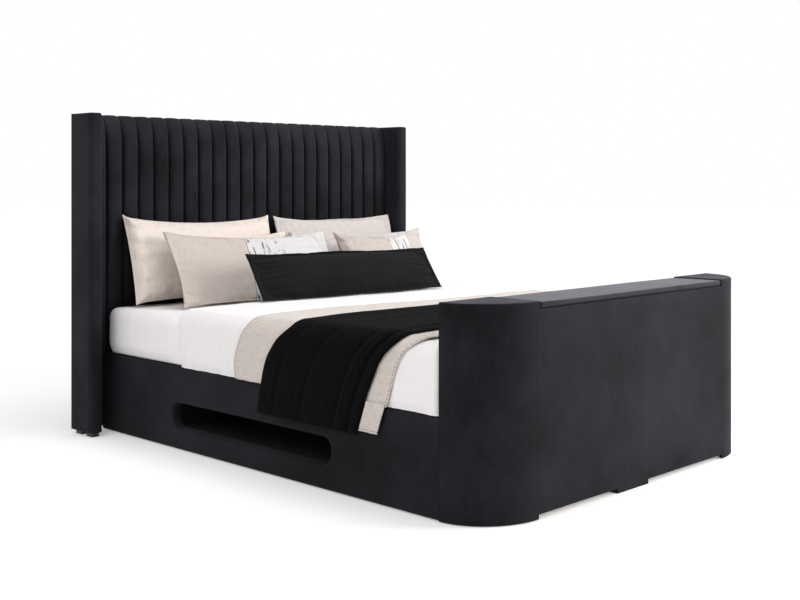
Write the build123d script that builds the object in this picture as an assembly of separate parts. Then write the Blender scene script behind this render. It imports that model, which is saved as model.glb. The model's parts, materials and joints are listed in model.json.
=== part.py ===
from build123d import *
from math import cos, radians, sin
import os

# Upholstered bed with a wing headboard and a footboard that hides a television lift.
# X runs across the bed, +Y points to the headboard and +Z is up. The origin is on the
# floor, under the centre of the whole bed. Lengths are in millimetres.

# Mattress and the clear bed between headboard and footboard
mattress_width = 1600
mattress_length = 2000
mattress_height = 253
mattress_end_gap = 10
mattress_side_gap = 3
mattress_swell = 31
mattress_corner_radius = 60
mattress_edge_radius = 48
mattress_crown = 4
mattress_bottom = 300.3

# Base rails and the slatted base
rail_height = 342
rail_board = 25
rail_foam = 17
rail_edge_radius = 10
floor_gap = 3
slat_count = 14
slat_width = 68
slat_thickness = 14
slat_end_space = 95
holder_wall = 4
holder_length = 46
holder_fit = 0.3
ledger_width = 30
ledger_height = 42
centre_rail_width = 60
crossbar_thickness = 25
crossbar_height = 82
leg_count = 3
leg_radius = 20
glide_radius = 16
glide_count = 4

# Media slot in the left rail and the compartment behind it
slot_length = 984
slot_height = 104
slot_bottom = 90
slot_centre_y = 88
slot_corner_radius = 46
slot_lining = 8
slot_edge_radius = 6
media_depth = 283
media_board = 12
media_side_room = 12
media_height = 122

# Bed irons
bracket_leg = 60
bracket_steel = 4
bracket_height = 110
bracket_bottom = 60
bolt_radius = 4
bolt_head_radius = 7.5
bolt_head_height = 5
bolt_reach = 18
bolt_fit = 0.4
bracket_bolt_spacing = 60

# Headboard
headboard_height = 1411
headboard_board = 25
channel_count = 22
channel_depth = 32
channel_seam_depth = 21
channel_roll_radius = 23
channel_skirt_gap = 3
back_cover = 3
wing_depth = 165
wing_thickness = 64
wing_foam = 16
wing_edge_radius = 24
wing_top_radius = 8
wing_side_gap = 74
lower_pad_foam = 12
headboard_lift = 18
headboard_foot_length = 46
headboard_foot_width = 34
headboard_foot_inset = 16

# Footboard shell
footboard_height = 719
footboard_depth = 218
footboard_corner_length = 250
shell_foam = 10
shell_board = 12
inner_board = 18
inner_foam = 8
footboard_floor_board = 15
footboard_lift = 18
cap_board = 16
cap_edge_radius = 5
raised_half_length = 600
partition_board = 18
partition_offset = 15
centre_foot_length = 200
centre_foot_depth = 90
centre_foot_shift = -40

# Lid of the footboard
lid_length = 1160
lid_end_gap = 8
lid_thickness = 13
lid_board = 9
lid_foam = 3
lid_edge_radius = 3
lid_drop = 4
lid_seam = 5
bumper_radius = 5
bumper_count = 4
hinge_pin_radius = 1
hinge_pin_fit = 0.05
hinge_barrel_radius = 2.3
hinge_leaf_width = 20
hinge_leaf_steel = 1
hinge_inset = 4
hinge_knuckle_count = 15
hinge_knuckle_gap = 0.4
hinge_leaf_gap = 0.5
hinge_chamfer = 6

# Television lift
column_gap_from_hinge = 50
column_width = 96
column_depth = 50
column_wall = 3
column_clearance = 0.5
column_height = 370
middle_start = 2
middle_rise = 2
inner_start = 20
inner_rise = 4
lift_plate = 5
lift_plate_length = 260
lift_plate_depth = 110
nut_height = 14
spindle_radius = 6
spindle_fit = 0.4
spindle_end_gap = 17
gearbox_length = 60
gearbox_height = 50
motor_radius = 22
motor_length = 120
bracket_plate = 4
bracket_plate_width = 120
bracket_plate_drop = 266
bracket_column_gap = 4
vesa_spacing = 200
vesa_hole_radius = 3.3
vesa_centre_z = 330
arm_width = 30
arm_length = 260
arm_steel = 4
crossbar_length = 260
crossbar_tube = 20
crossbar_steel = 6
crossbar_spacing = 140
crossbar_centre_z = 330
control_box_length = 160
control_box_depth = 70
control_box_height = 44
control_box_x = -340
inlet_width = 48
inlet_height = 27
inlet_flange = 6
inlet_flange_thickness = 3
inlet_wall = 3
inlet_recess = 16
inlet_x = -340
inlet_z = 120
inlet_fit = 0.3
pin_count = 2
pin_size = 3
pin_spacing = 9

# Duvet, bedspread and throw
duvet_side = 20
duvet_lining_gap = 0.3
duvet_top = 34
duvet_shoulder_radius = 60
duvet_head_gap = 560
duvet_foot_gap = 5
duvet_hem_gap = 2
layer_gap = 0.3
spread_thickness = 4.5
spread_length = 910
spread_foot_gap = 81
spread_fan = 86
spread_hem_gap = 2
spread_strip_drop = 97
throw_thickness = 5
throw_fold_height = 9
throw_width = 555
throw_foot_gap = 181
throw_right_end = 600
throw_drop = 293
throw_fan_near = 190
throw_fan_far = 191
throw_bend_fan = 94
throw_bend_drop = 43

# Pillows and cushions: width, height and thickness of each
pillow_back_left_size = (870, 425, 120)
pillow_back_right_size = (830, 402, 120)
pillow_mid_left_size = (640, 340, 50)
pillow_mid_right_size = (860, 355, 60)
cushion_left_size = (907, 400, 92)
cushion_right_size = (530, 372, 92)
bolster_size = (1080, 245, 118)
pillow_seam = 8
pillow_seat_gap = 0.3
# Plan of each: the middle of its lower edge across the bed and how far it lies from the
# headboard, with its lean back and its turn
pillow_back_left_plan = (-356, 135)
pillow_back_right_plan = (497, 137)
pillow_back_lean = 16
pillow_mid_left_plan = (-236, 257)
pillow_mid_right_plan = (522, 326)
pillow_mid_left_lean = 21
pillow_mid_right_lean = 30
pillow_mid_right_turn = -9
cushion_left_plan = (-236, 415)
cushion_left_lean = 33
cushion_left_turn = -5.5
cushion_right_plan = (522, 479)
cushion_right_lean = 34
bolster_plan = (75, 669)
bolster_lean = 35
bolster_turn = -3.8

# Crown of a pillow along its width: place, thickness, top edge and bottom edge as shares
pillow_crown_shares = (
    (-0.50, 0.09, 1.00, 0.00),
    (-0.44, 0.42, 0.985, 0.010),
    (-0.28, 0.84, 0.945, 0.022),
    (0.00, 1.00, 0.920, 0.026),
    (0.28, 0.84, 0.945, 0.022),
    (0.44, 0.42, 0.985, 0.010),
    (0.50, 0.09, 1.00, 0.00),
)

# Folds of the throw: each fold's share of the width and of the fold height
throw_fold_shares = (
    (0.11, 0.45),
    (0.17, 0.75),
    (0.14, 0.50),
    (0.18, 0.80),
    (0.16, 1.00),
    (0.13, 0.60),
    (0.11, 0.90),
)

# Head edge of the bedspread where it hangs: share of its fan, share of its height
spread_head_edge_shares = ((0.00, 1.00), (0.58, 0.64), (1.00, 0.28), (0.78, 0.00))
# Foot edge of the bedspread where it hangs: share of its fan, share of its height
spread_foot_edge_shares = (
    (0.00, 1.00), (0.30, 0.88), (0.52, 0.69), (0.62, 0.55), (0.80, 0.28), (1.00, 0.00),
)
spread_foot_fan = 192
spread_strip_width = 92

# Values that follow from the sizes above
panel_to_footboard = mattress_length + 2 * mattress_end_gap
headboard_depth = channel_depth + headboard_board + back_cover
overall_length = footboard_depth + panel_to_footboard + headboard_depth
y_back = overall_length / 2
y_board_back = y_back - back_cover
y_board = y_board_back - headboard_board
y_panel = y_board - channel_depth
y_foot_inner = y_panel - panel_to_footboard
y_foot_outer = -overall_length / 2
y_wing = y_back - wing_depth
rail_inner = mattress_width / 2 + mattress_side_gap
rail_face = rail_inner + rail_board + rail_foam
wing_inner = rail_face + wing_side_gap
wing_outer = wing_inner + wing_thickness
overrun = headboard_height
slat_top = mattress_bottom - holder_fit
ledger_top = slat_top - slat_thickness - holder_wall
board_top = headboard_height - channel_depth


def block(x0, x1, y0, y1, z0, z1):
    """A box between two corners."""
    middle = Pos((x0 + x1) / 2, (y0 + y1) / 2, (z0 + z1) / 2)
    return middle * Box(x1 - x0, y1 - y0, z1 - z0)


def rod(x, y, z0, z1, radius):
    """An upright round rod."""
    return Pos(x, y, (z0 + z1) / 2) * Cylinder(radius, z1 - z0)


def cross_rod(x0, x1, y, z, radius):
    """A round rod along X."""
    return Pos((x0 + x1) / 2, y, z) * Rot(0, 90, 0) * Cylinder(radius, x1 - x0)


def long_rod(x, y0, y1, z, radius):
    """A round rod along Y."""
    return Pos(x, (y0 + y1) / 2, z) * Rot(90, 0, 0) * Cylinder(radius, y1 - y0)


def mirrored(shape):
    """The same shape on the other side of the bed."""
    return mirror(shape, Plane.YZ)


def save(name, solids):
    """Write one sub-part; several solids stay separate in their node."""
    shape = solids[0] if len(solids) == 1 else Compound(solids)
    export_step(shape, os.path.join("parts", name + ".step"))


def solids_of(shape):
    """The separate solids of a shape."""
    return list(shape.solids())


os.makedirs("parts", exist_ok=True)

# Headboard board, channel pad, lower pads and back cover
x_core = wing_inner + wing_foam
headboard_panel = block(-wing_inner, wing_inner, y_board, y_board_back, headboard_lift, board_top)
roll_edge = headboard_panel.edges().filter_by(Axis.X).group_by(Axis.Z)[-1].sort_by(Axis.Y)[0]
headboard_panel = fillet(roll_edge, channel_roll_radius)
save("headboard_board", [headboard_panel])

channel_bottom = rail_height + channel_skirt_gap
channel_pitch = 2 * wing_inner / channel_count
y_seam = y_board - channel_seam_depth
scallops = []
for i in range(channel_count):
    x_start = -wing_inner + i * channel_pitch
    scallops.append(ThreePointArc(
        (x_start, y_seam, channel_bottom),
        (x_start + channel_pitch / 2, y_panel, channel_bottom),
        (x_start + channel_pitch, y_seam, channel_bottom),
    ))
channel_back = Polyline(
    (wing_inner, y_seam, channel_bottom),
    (wing_inner, y_board, channel_bottom),
    (-wing_inner, y_board, channel_bottom),
    (-wing_inner, y_seam, channel_bottom),
)
channel_section = make_face(scallops + channel_back.edges())
roll_up = Line((0, y_board, channel_bottom), (0, y_board, board_top - channel_roll_radius))
roll_over = TangentArc(
    (0, y_board, board_top - channel_roll_radius),
    (0, y_board + channel_roll_radius, board_top),
    tangent=(0, 0, 1),
)
roll_back = Line((0, y_board + channel_roll_radius, board_top), (0, y_back, board_top))
channel_path = Wire([roll_up, roll_over, roll_back])
channel_pad = sweep(channel_section, path=channel_path)
save("headboard_channel_pad", solids_of(channel_pad))

lower_pad = block(rail_face, wing_inner, y_board - lower_pad_foam, y_board, headboard_lift, rail_height)
save("headboard_lower_pad", [lower_pad, mirrored(lower_pad)])

back_panel = block(-wing_outer, wing_outer, y_board_back, y_back, headboard_lift, board_top)
back_strip = block(wing_inner, wing_outer, y_board_back, y_back, board_top, headboard_height)
save("headboard_back_cover", solids_of(back_panel + back_strip + mirrored(back_strip)))

# Wings: a wooden core in an upholstered sleeve, closed at the top
wing_core = block(
    wing_inner + wing_foam, wing_outer - wing_foam,
    y_wing + wing_foam, y_board_back,
    headboard_lift, headboard_height - wing_foam,
)
wing_sleeve = block(wing_inner, wing_outer, y_wing, y_board_back, headboard_lift, headboard_height)
front_edges = wing_sleeve.edges().filter_by(Axis.Z).group_by(Axis.Y)[0]
wing_sleeve = fillet(front_edges, wing_edge_radius)
top_edges = wing_sleeve.edges().group_by(Axis.Z)[-1].sort_by(Axis.Y)[:-1]
wing_sleeve = fillet(top_edges, wing_top_radius)
wing_sleeve = wing_sleeve - wing_core
save("right_wing_core", [wing_core])
save("left_wing_core", [mirrored(wing_core)])
save("right_wing_pad", solids_of(wing_sleeve))
save("left_wing_pad", solids_of(mirrored(wing_sleeve)))

# Feet under the headboard and glides under the rails
feet = []
x_foot = (wing_inner + wing_outer) / 2
for y_centre in (
    y_wing + headboard_foot_inset + headboard_foot_length / 2,
    y_back - headboard_foot_inset - headboard_foot_length / 2,
):
    foot = block(
        x_foot - headboard_foot_width / 2, x_foot + headboard_foot_width / 2,
        y_centre - headboard_foot_length / 2, y_centre + headboard_foot_length / 2,
        0, headboard_lift,
    )
    feet.extend([foot, mirrored(foot)])
glide_step = panel_to_footboard / glide_count
x_rail_board = rail_inner + rail_board / 2
for i in range(glide_count):
    y_glide = y_foot_inner + (i + 0.5) * glide_step
    glide = rod(x_rail_board, y_glide, 0, floor_gap, rail_board / 2)
    feet.extend([glide, mirrored(glide)])

# Rails: a board with an upholstered face that turns over the top
y_rail_end = y_board
rail_core = block(rail_inner, rail_inner + rail_board, y_foot_inner, y_rail_end, floor_gap, rail_height - rail_foam)
rail_pad = block(rail_inner, rail_face, y_foot_inner, y_rail_end, floor_gap, rail_height)
rail_top_edge = rail_pad.edges().filter_by(Axis.Y).group_by(Axis.Z)[-1].sort_by(Axis.X)[-1]
rail_pad = fillet(rail_top_edge, rail_edge_radius) - rail_core
save("right_rail_board", [rail_core])
save("right_rail_pad", solids_of(rail_pad))


def slot_prism(x0, x1, grow):
    """The rounded slot of the left rail as a prism along X, grown on every side."""
    outline = RectangleRounded(
        slot_length + 2 * grow, slot_height + 2 * grow, slot_corner_radius + grow
    )
    place = Plane(origin=(x0, slot_centre_y, slot_bottom + slot_height / 2), x_dir=(0, 1, 0), z_dir=(1, 0, 0))
    return extrude(place * outline, x1 - x0)


left_rail_core = mirrored(rail_core) - slot_prism(-rail_face - overrun, -rail_inner + overrun, slot_lining)
slot_lining_ring = slot_prism(-rail_face, -rail_inner, slot_lining) - slot_prism(-rail_face - overrun, 0, 0)
left_rail_pad = mirrored(rail_pad) - slot_prism(-rail_face - overrun, -rail_inner + overrun, 0)
left_rail_pad = left_rail_pad + slot_lining_ring
slot_edges = left_rail_pad.faces().sort_by(Axis.X)[0].inner_wires()[0].edges()
left_rail_pad = fillet(slot_edges, slot_edge_radius)
save("left_rail_board", [left_rail_core])
save("left_rail_pad", solids_of(left_rail_pad))

# Media compartment behind the slot
y_slot_low = slot_centre_y - slot_length / 2
y_slot_high = slot_centre_y + slot_length / 2
y_media_low = y_slot_low - slot_lining - media_side_room
y_media_high = y_slot_high + slot_lining + media_side_room
z_media = slot_bottom
x_media_back = -rail_inner + media_depth
media_floor = block(
    -rail_inner, x_media_back, y_media_low - media_board, y_media_high + media_board,
    z_media - media_board, z_media,
)
save("media_floor", [media_floor])
media_shell = block(
    -rail_inner, x_media_back, y_media_low - media_board, y_media_high + media_board,
    z_media, z_media + media_height + media_board,
)
media_room = block(
    -rail_inner - overrun, x_media_back - media_board, y_media_low, y_media_high,
    z_media - overrun, z_media + media_height,
)
save("media_housing", solids_of(media_shell - media_room))

# Slatted base: ledgers, centre rail, crossbars, legs, slats and their holders
y_base_foot = y_foot_inner + crossbar_thickness
y_base_head = y_board - crossbar_thickness
ledger = block(rail_inner - ledger_width, rail_inner, y_base_foot, y_base_head, ledger_top - ledger_height, ledger_top)
save("slat_ledgers", [ledger, mirrored(ledger)])
z_beam = ledger_top - crossbar_height
centre_rail = block(-centre_rail_width / 2, centre_rail_width / 2, y_base_foot, y_base_head, z_beam, ledger_top)
save("centre_rail", [centre_rail])
foot_crossbar = block(-rail_inner, rail_inner, y_foot_inner, y_base_foot, z_beam, ledger_top)
head_crossbar = block(-rail_inner, rail_inner, y_base_head, y_board, z_beam, ledger_top)
save("crossbars", [foot_crossbar, head_crossbar])

legs = []
leg_step = (y_base_head - y_base_foot) / leg_count
for i in range(leg_count):
    y_leg = y_base_foot + (i + 0.5) * leg_step
    legs.append(rod(0, y_leg, floor_gap, z_beam, leg_radius))
    feet.append(rod(0, y_leg, 0, floor_gap, glide_radius))
save("centre_legs", legs)
save("feet_and_glides", feet)

slats = []
holders = []
slat_step = (y_base_head - y_base_foot - 2 * slat_end_space) / (slat_count - 1)
x_slat_inner = centre_rail_width / 4
x_slat_outer = rail_inner - holder_wall - holder_fit
holder_half = slat_width / 2 + holder_fit + holder_wall
z_slat = ledger_top + holder_wall
for i in range(slat_count):
    y_slat = y_base_foot + slat_end_space + i * slat_step
    slat = block(
        x_slat_inner, x_slat_outer,
        y_slat - slat_width / 2, y_slat + slat_width / 2,
        z_slat, slat_top,
    )
    slats.extend([slat, mirrored(slat)])
    pocket = block(
        x_slat_inner - holder_fit, x_slat_outer + holder_fit,
        y_slat - slat_width / 2 - holder_fit, y_slat + slat_width / 2 + holder_fit,
        z_slat, z_slat + overrun,
    )
    outer_holder = block(
        rail_inner - holder_length, rail_inner, y_slat - holder_half, y_slat + holder_half,
        ledger_top, slat_top,
    ) - pocket
    centre_holder = block(
        0, holder_length, y_slat - holder_half, y_slat + holder_half, ledger_top, slat_top,
    ) - pocket
    holders.extend([outer_holder, mirrored(outer_holder)])
    holders.append(centre_holder + mirrored(centre_holder))
save("slats", slats)
save("slat_holders", holders)

# Bed irons and their bolts, one in each corner
irons = []
bolts = []
z_iron_top = bracket_bottom + bracket_height
z_iron_middle = (bracket_bottom + z_iron_top) / 2
for y_face, inward in ((y_foot_inner, 1), (y_board, -1)):
    y_flange = y_face + inward * bracket_steel
    y_leg_end = y_face + inward * bracket_leg
    rail_flange = block(
        rail_inner - bracket_steel, rail_inner,
        min(y_face, y_leg_end), max(y_face, y_leg_end), bracket_bottom, z_iron_top,
    )
    end_flange = block(
        rail_inner - bracket_leg, rail_inner,
        min(y_face, y_flange), max(y_face, y_flange), bracket_bottom, z_iron_top,
    )
    iron = rail_flange + end_flange
    y_bolt = y_face + inward * (bracket_leg + bracket_steel) / 2
    for z_bolt in (z_iron_middle - bracket_bolt_spacing / 2, z_iron_middle + bracket_bolt_spacing / 2):
        hole = cross_rod(rail_inner - overrun, rail_inner + overrun, y_bolt, z_bolt, bolt_radius + bolt_fit)
        iron = iron - hole
        head = cross_rod(
            rail_inner - bracket_steel - bolt_head_height, rail_inner - bracket_steel,
            y_bolt, z_bolt, bolt_head_radius,
        )
        shank = cross_rod(
            rail_inner - bracket_steel - bolt_head_height, rail_inner, y_bolt, z_bolt, bolt_radius,
        )
        bolt = head + shank
        bolts.extend([bolt, mirrored(bolt)])
    irons.extend([iron, mirrored(iron)])
save("corner_brackets", irons)
save("bracket_bolts", bolts)

# Footboard: a D-shaped shell, open to the bed, around the television bay
shell_wall = shell_foam + shell_board
x_corner = rail_face - footboard_corner_length
lid_half = lid_length / 2
cap_half = lid_half + lid_end_gap
z_lid_top = footboard_height - lid_drop
z_lid = z_lid_top - lid_thickness
z_wall = z_lid - lid_seam
z_cap = footboard_height - cap_board
x_shell_inner = rail_face - shell_wall
y_inner_pad = y_foot_inner - inner_foam
y_inner_board = y_inner_pad - inner_board


def footboard_outline(inset):
    """The plan of the footboard, straight along the bed side, inset from its outer face."""
    across = footboard_corner_length - inset
    along = footboard_depth - inset
    left = EllipticalCenterArc((-x_corner, y_foot_inner), across, along, start_angle=180, arc_size=90)
    front = Line((-x_corner, y_foot_outer + inset), (x_corner, y_foot_outer + inset))
    right = EllipticalCenterArc((x_corner, y_foot_inner), across, along, start_angle=270, arc_size=90)
    bed_side = Line((rail_face - inset, y_foot_inner), (-rail_face + inset, y_foot_inner))
    return make_face([left, front, right, bed_side])


def footboard_prism(inset, z0, z1):
    """An upright prism of the footboard's plan."""
    return extrude(Pos(0, 0, z0) * footboard_outline(inset), z1 - z0)


lid_notch = block(-cap_half, cap_half, y_foot_outer - overrun, y_foot_inner + overrun, z_wall, z_wall + overrun)
floor_notch = block(
    -raised_half_length, raised_half_length,
    y_foot_outer - overrun, y_foot_inner + overrun, -overrun, footboard_lift,
)
chamfer_wedge = extrude(
    Plane.YZ.offset(-cap_half) * make_face(Polyline(
        (y_foot_outer, z_wall),
        (y_foot_outer + hinge_chamfer, z_wall),
        (y_foot_outer, z_wall - hinge_chamfer),
        close=True,
    )),
    2 * cap_half,
)
outer_pad = footboard_prism(0, floor_gap, z_cap)
outer_pad = outer_pad - footboard_prism(shell_foam, -overrun, footboard_height + overrun)
outer_pad = outer_pad - lid_notch - floor_notch - chamfer_wedge
save("footboard_outer_pad", solids_of(outer_pad))

outer_board = footboard_prism(shell_foam, floor_gap, z_cap)
outer_board = outer_board - footboard_prism(shell_wall, -overrun, footboard_height + overrun)
outer_board = outer_board - lid_notch - floor_notch
save("footboard_outer_board", solids_of(outer_board))

inlet_hole = block(
    inlet_x - inlet_width / 2 - inlet_fit, inlet_x + inlet_width / 2 + inlet_fit,
    y_inner_board - overrun, y_foot_inner + overrun,
    inlet_z - inlet_height / 2 - inlet_fit, inlet_z + inlet_height / 2 + inlet_fit,
)
shell_room = footboard_prism(shell_wall, 0, footboard_height)
bay_wall = block(-x_shell_inner, x_shell_inner, y_inner_board, y_inner_pad, footboard_lift, z_cap)
save("footboard_inner_board", solids_of((bay_wall & shell_room) - lid_notch - inlet_hole))
bay_pad = block(-x_shell_inner, x_shell_inner, y_inner_pad, y_foot_inner, footboard_lift, z_cap)
save("footboard_inner_pad", solids_of((bay_pad & shell_room) - lid_notch - inlet_hole))

z_floor_top = footboard_lift + footboard_floor_board
footboard_floor = footboard_prism(shell_wall, footboard_lift, z_floor_top)
footboard_floor = footboard_floor - block(
    -rail_face, rail_face, y_inner_board, y_foot_inner + overrun, 0, footboard_height,
)
save("footboard_floor", solids_of(footboard_floor))

x_partition = cap_half + partition_offset
partition = block(
    x_partition, x_partition + partition_board,
    y_foot_outer + shell_wall, y_inner_board, z_floor_top, z_cap,
) & shell_room
save("footboard_partitions", [partition, mirrored(partition)])

cap = footboard_prism(0, z_cap, footboard_height)
cap = fillet(cap.edges().group_by(Axis.Z)[-1].sort_by(Axis.Y)[:-1], cap_edge_radius)
cap = cap - block(-cap_half, rail_face, y_foot_outer, y_foot_inner + overrun, 0, footboard_height + overrun)
save("end_caps", [cap, mirrored(cap)])

centre_foot = block(
    centre_foot_shift - centre_foot_length / 2, centre_foot_shift + centre_foot_length / 2,
    y_foot_outer, y_foot_outer + centre_foot_depth, 0, footboard_lift,
)
save("footboard_centre_foot", [centre_foot])

bumpers = []
bumper_step = lid_length / bumper_count
for i in range(bumper_count):
    x_bumper = -lid_half + (i + 0.5) * bumper_step
    bumpers.append(rod(
        x_bumper, y_inner_board + inner_board / 2, z_wall, z_lid - holder_fit, bumper_radius,
    ))
save("lid_bumpers", bumpers)

# Lid and its piano hinge along the outer edge
lid_cover = block(-lid_half, lid_half, y_foot_outer, y_foot_inner, z_lid, z_lid_top)
lid_cover = fillet(lid_cover.edges().group_by(Axis.Z)[-1], lid_edge_radius)
lid_panel = block(
    -lid_half + lid_foam, lid_half - lid_foam,
    y_foot_outer + lid_foam, y_foot_inner - lid_foam, z_lid, z_lid + lid_board,
)
save("lid_pad", solids_of(lid_cover - lid_panel))
save("lid_board", [lid_panel])

y_hinge = y_foot_outer + hinge_inset
z_hinge = z_wall + lid_seam / 2
knuckle_length = lid_length / hinge_knuckle_count
y_leaf = y_hinge + hinge_barrel_radius + hinge_leaf_gap
leaf_bore = cross_rod(-lid_half - overrun, lid_half + overrun, y_hinge, z_hinge, hinge_pin_radius + hinge_pin_fit)
fixed_leaf = block(-lid_half, lid_half, y_leaf, y_hinge + hinge_leaf_width, z_wall, z_wall + hinge_leaf_steel)
moving_leaf = block(-lid_half, lid_half, y_leaf, y_hinge + hinge_leaf_width, z_lid - hinge_leaf_steel, z_lid)
for i in range(hinge_knuckle_count):
    x_low = -lid_half + i * knuckle_length + hinge_knuckle_gap / 2
    x_high = -lid_half + (i + 1) * knuckle_length - hinge_knuckle_gap / 2
    knuckle = cross_rod(x_low, x_high, y_hinge, z_hinge, hinge_barrel_radius)
    if i % 2 == 0:
        knuckle = knuckle + block(x_low, x_high, y_hinge, y_leaf, z_wall, z_wall + hinge_leaf_steel)
        fixed_leaf = fixed_leaf + knuckle
    else:
        knuckle = knuckle + block(x_low, x_high, y_hinge, y_leaf, z_lid - hinge_leaf_steel, z_lid)
        moving_leaf = moving_leaf + knuckle
save("lid_hinge_fixed_leaf", solids_of(fixed_leaf - leaf_bore))
save("lid_hinge_moving_leaf", solids_of(moving_leaf - leaf_bore))
save("lid_hinge_pin", [cross_rod(-lid_half, lid_half, y_hinge, z_hinge, hinge_pin_radius)])

# Television lift: a three-stage column on a base plate
y_column_near = y_hinge + column_gap_from_hinge
y_column = y_column_near + column_depth / 2
z_plate_top = z_floor_top + lift_plate
lift_base = block(
    -lift_plate_length / 2, lift_plate_length / 2,
    y_column - lift_plate_depth / 2, y_column + lift_plate_depth / 2, z_floor_top, z_plate_top,
)
save("lift_base_plate", [lift_base])


def column_tube(inset, z0, z1):
    """One square tube of the telescopic column, inset from the outer one."""
    half_width = column_width / 2 - inset
    half_depth = column_depth / 2 - inset
    outside = block(-half_width, half_width, y_column - half_depth, y_column + half_depth, z0, z1)
    inside = block(
        -half_width + column_wall, half_width - column_wall,
        y_column - half_depth + column_wall, y_column + half_depth - column_wall,
        z0 - overrun, z1 + overrun,
    )
    return outside - inside


stage_inset = column_wall + column_clearance
z_column_top = z_plate_top + column_height
z_middle = z_plate_top + middle_start
z_inner = z_plate_top + inner_start
z_inner_top = z_column_top + inner_rise
save("lift_outer_column", [column_tube(0, z_plate_top, z_column_top)])
save("lift_middle_column", [column_tube(stage_inset, z_middle, z_column_top + middle_rise)])
save("lift_inner_column", [column_tube(2 * stage_inset, z_inner, z_inner_top)])

nut_half_width = column_width / 2 - stage_inset - column_wall
nut_half_depth = column_depth / 2 - stage_inset - column_wall
nut = block(
    -nut_half_width, nut_half_width, y_column - nut_half_depth, y_column + nut_half_depth,
    z_middle, z_middle + nut_height,
)
save("lift_nut", [nut - rod(0, y_column, z_middle - overrun, z_middle + overrun, spindle_radius + spindle_fit)])
save("lift_spindle", [rod(0, y_column, z_plate_top, z_inner_top - spindle_end_gap, spindle_radius)])

x_gearbox = column_width / 2
gearbox = block(
    x_gearbox, x_gearbox + gearbox_length, y_column_near, y_column_near + column_depth,
    z_plate_top, z_plate_top + gearbox_height,
)
gearbox = fillet(gearbox.edges().filter_by(Axis.Z), column_wall)
save("lift_gearbox", [gearbox])
x_motor = x_gearbox + gearbox_length
save("lift_motor", [cross_rod(x_motor, x_motor + motor_length, y_column, z_plate_top + gearbox_height / 2, motor_radius)])

# Television bracket: a folded plate on the inner column, crossbars and drilled arms
y_plate = y_column_near + column_depth + bracket_column_gap
head_plate = block(
    -bracket_plate_width / 2, bracket_plate_width / 2,
    y_column_near, y_plate + bracket_plate, z_inner_top, z_inner_top + bracket_plate,
)
drop_plate = block(
    -bracket_plate_width / 2, bracket_plate_width / 2,
    y_plate, y_plate + bracket_plate, z_inner_top - bracket_plate_drop, z_inner_top + bracket_plate,
)
tv_bracket = head_plate + drop_plate
y_bar = y_plate + bracket_plate
y_arm = y_bar + crossbar_steel
for z_bar in (crossbar_centre_z - crossbar_spacing / 2, crossbar_centre_z + crossbar_spacing / 2):
    tv_bracket = tv_bracket + block(
        -crossbar_length / 2, crossbar_length / 2, y_bar, y_arm,
        z_bar - crossbar_tube / 2, z_bar + crossbar_tube / 2,
    )
save("tv_bracket_plate", solids_of(tv_bracket))

arm = block(
    (vesa_spacing - arm_width) / 2, (vesa_spacing + arm_width) / 2, y_arm, y_arm + arm_steel,
    vesa_centre_z - arm_length / 2, vesa_centre_z + arm_length / 2,
)
for z_hole in (vesa_centre_z - vesa_spacing / 2, vesa_centre_z + vesa_spacing / 2):
    arm = arm - long_rod(vesa_spacing / 2, y_arm - overrun, y_arm + overrun, z_hole, vesa_hole_radius)
save("tv_arms", [arm, mirrored(arm)])

# Control box and mains inlet
control_box = block(
    control_box_x - control_box_length / 2, control_box_x + control_box_length / 2,
    y_column - control_box_depth / 2, y_column + control_box_depth / 2,
    z_floor_top, z_floor_top + control_box_height,
)
control_box = fillet(control_box.edges().filter_by(Axis.Z), column_wall)
save("control_box", [control_box])

y_flange = y_foot_inner + inlet_flange_thickness
inlet = block(
    inlet_x - inlet_width / 2, inlet_x + inlet_width / 2, y_inner_board, y_foot_inner,
    inlet_z - inlet_height / 2, inlet_z + inlet_height / 2,
)
inlet = inlet + block(
    inlet_x - inlet_width / 2 - inlet_flange, inlet_x + inlet_width / 2 + inlet_flange,
    y_foot_inner, y_flange,
    inlet_z - inlet_height / 2 - inlet_flange, inlet_z + inlet_height / 2 + inlet_flange,
)
inlet = inlet - block(
    inlet_x - inlet_width / 2 + inlet_wall, inlet_x + inlet_width / 2 - inlet_wall,
    y_flange - inlet_recess, y_flange + overrun,
    inlet_z - inlet_height / 2 + inlet_wall, inlet_z + inlet_height / 2 - inlet_wall,
)
for i in range(pin_count):
    x_pin = inlet_x + (i - (pin_count - 1) / 2) * pin_spacing
    inlet = inlet + block(
        x_pin - pin_size / 2, x_pin + pin_size / 2, y_flange - inlet_recess, y_foot_inner,
        inlet_z - pin_size / 2, inlet_z + pin_size / 2,
    )
save("power_inlet", [inlet])

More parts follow.
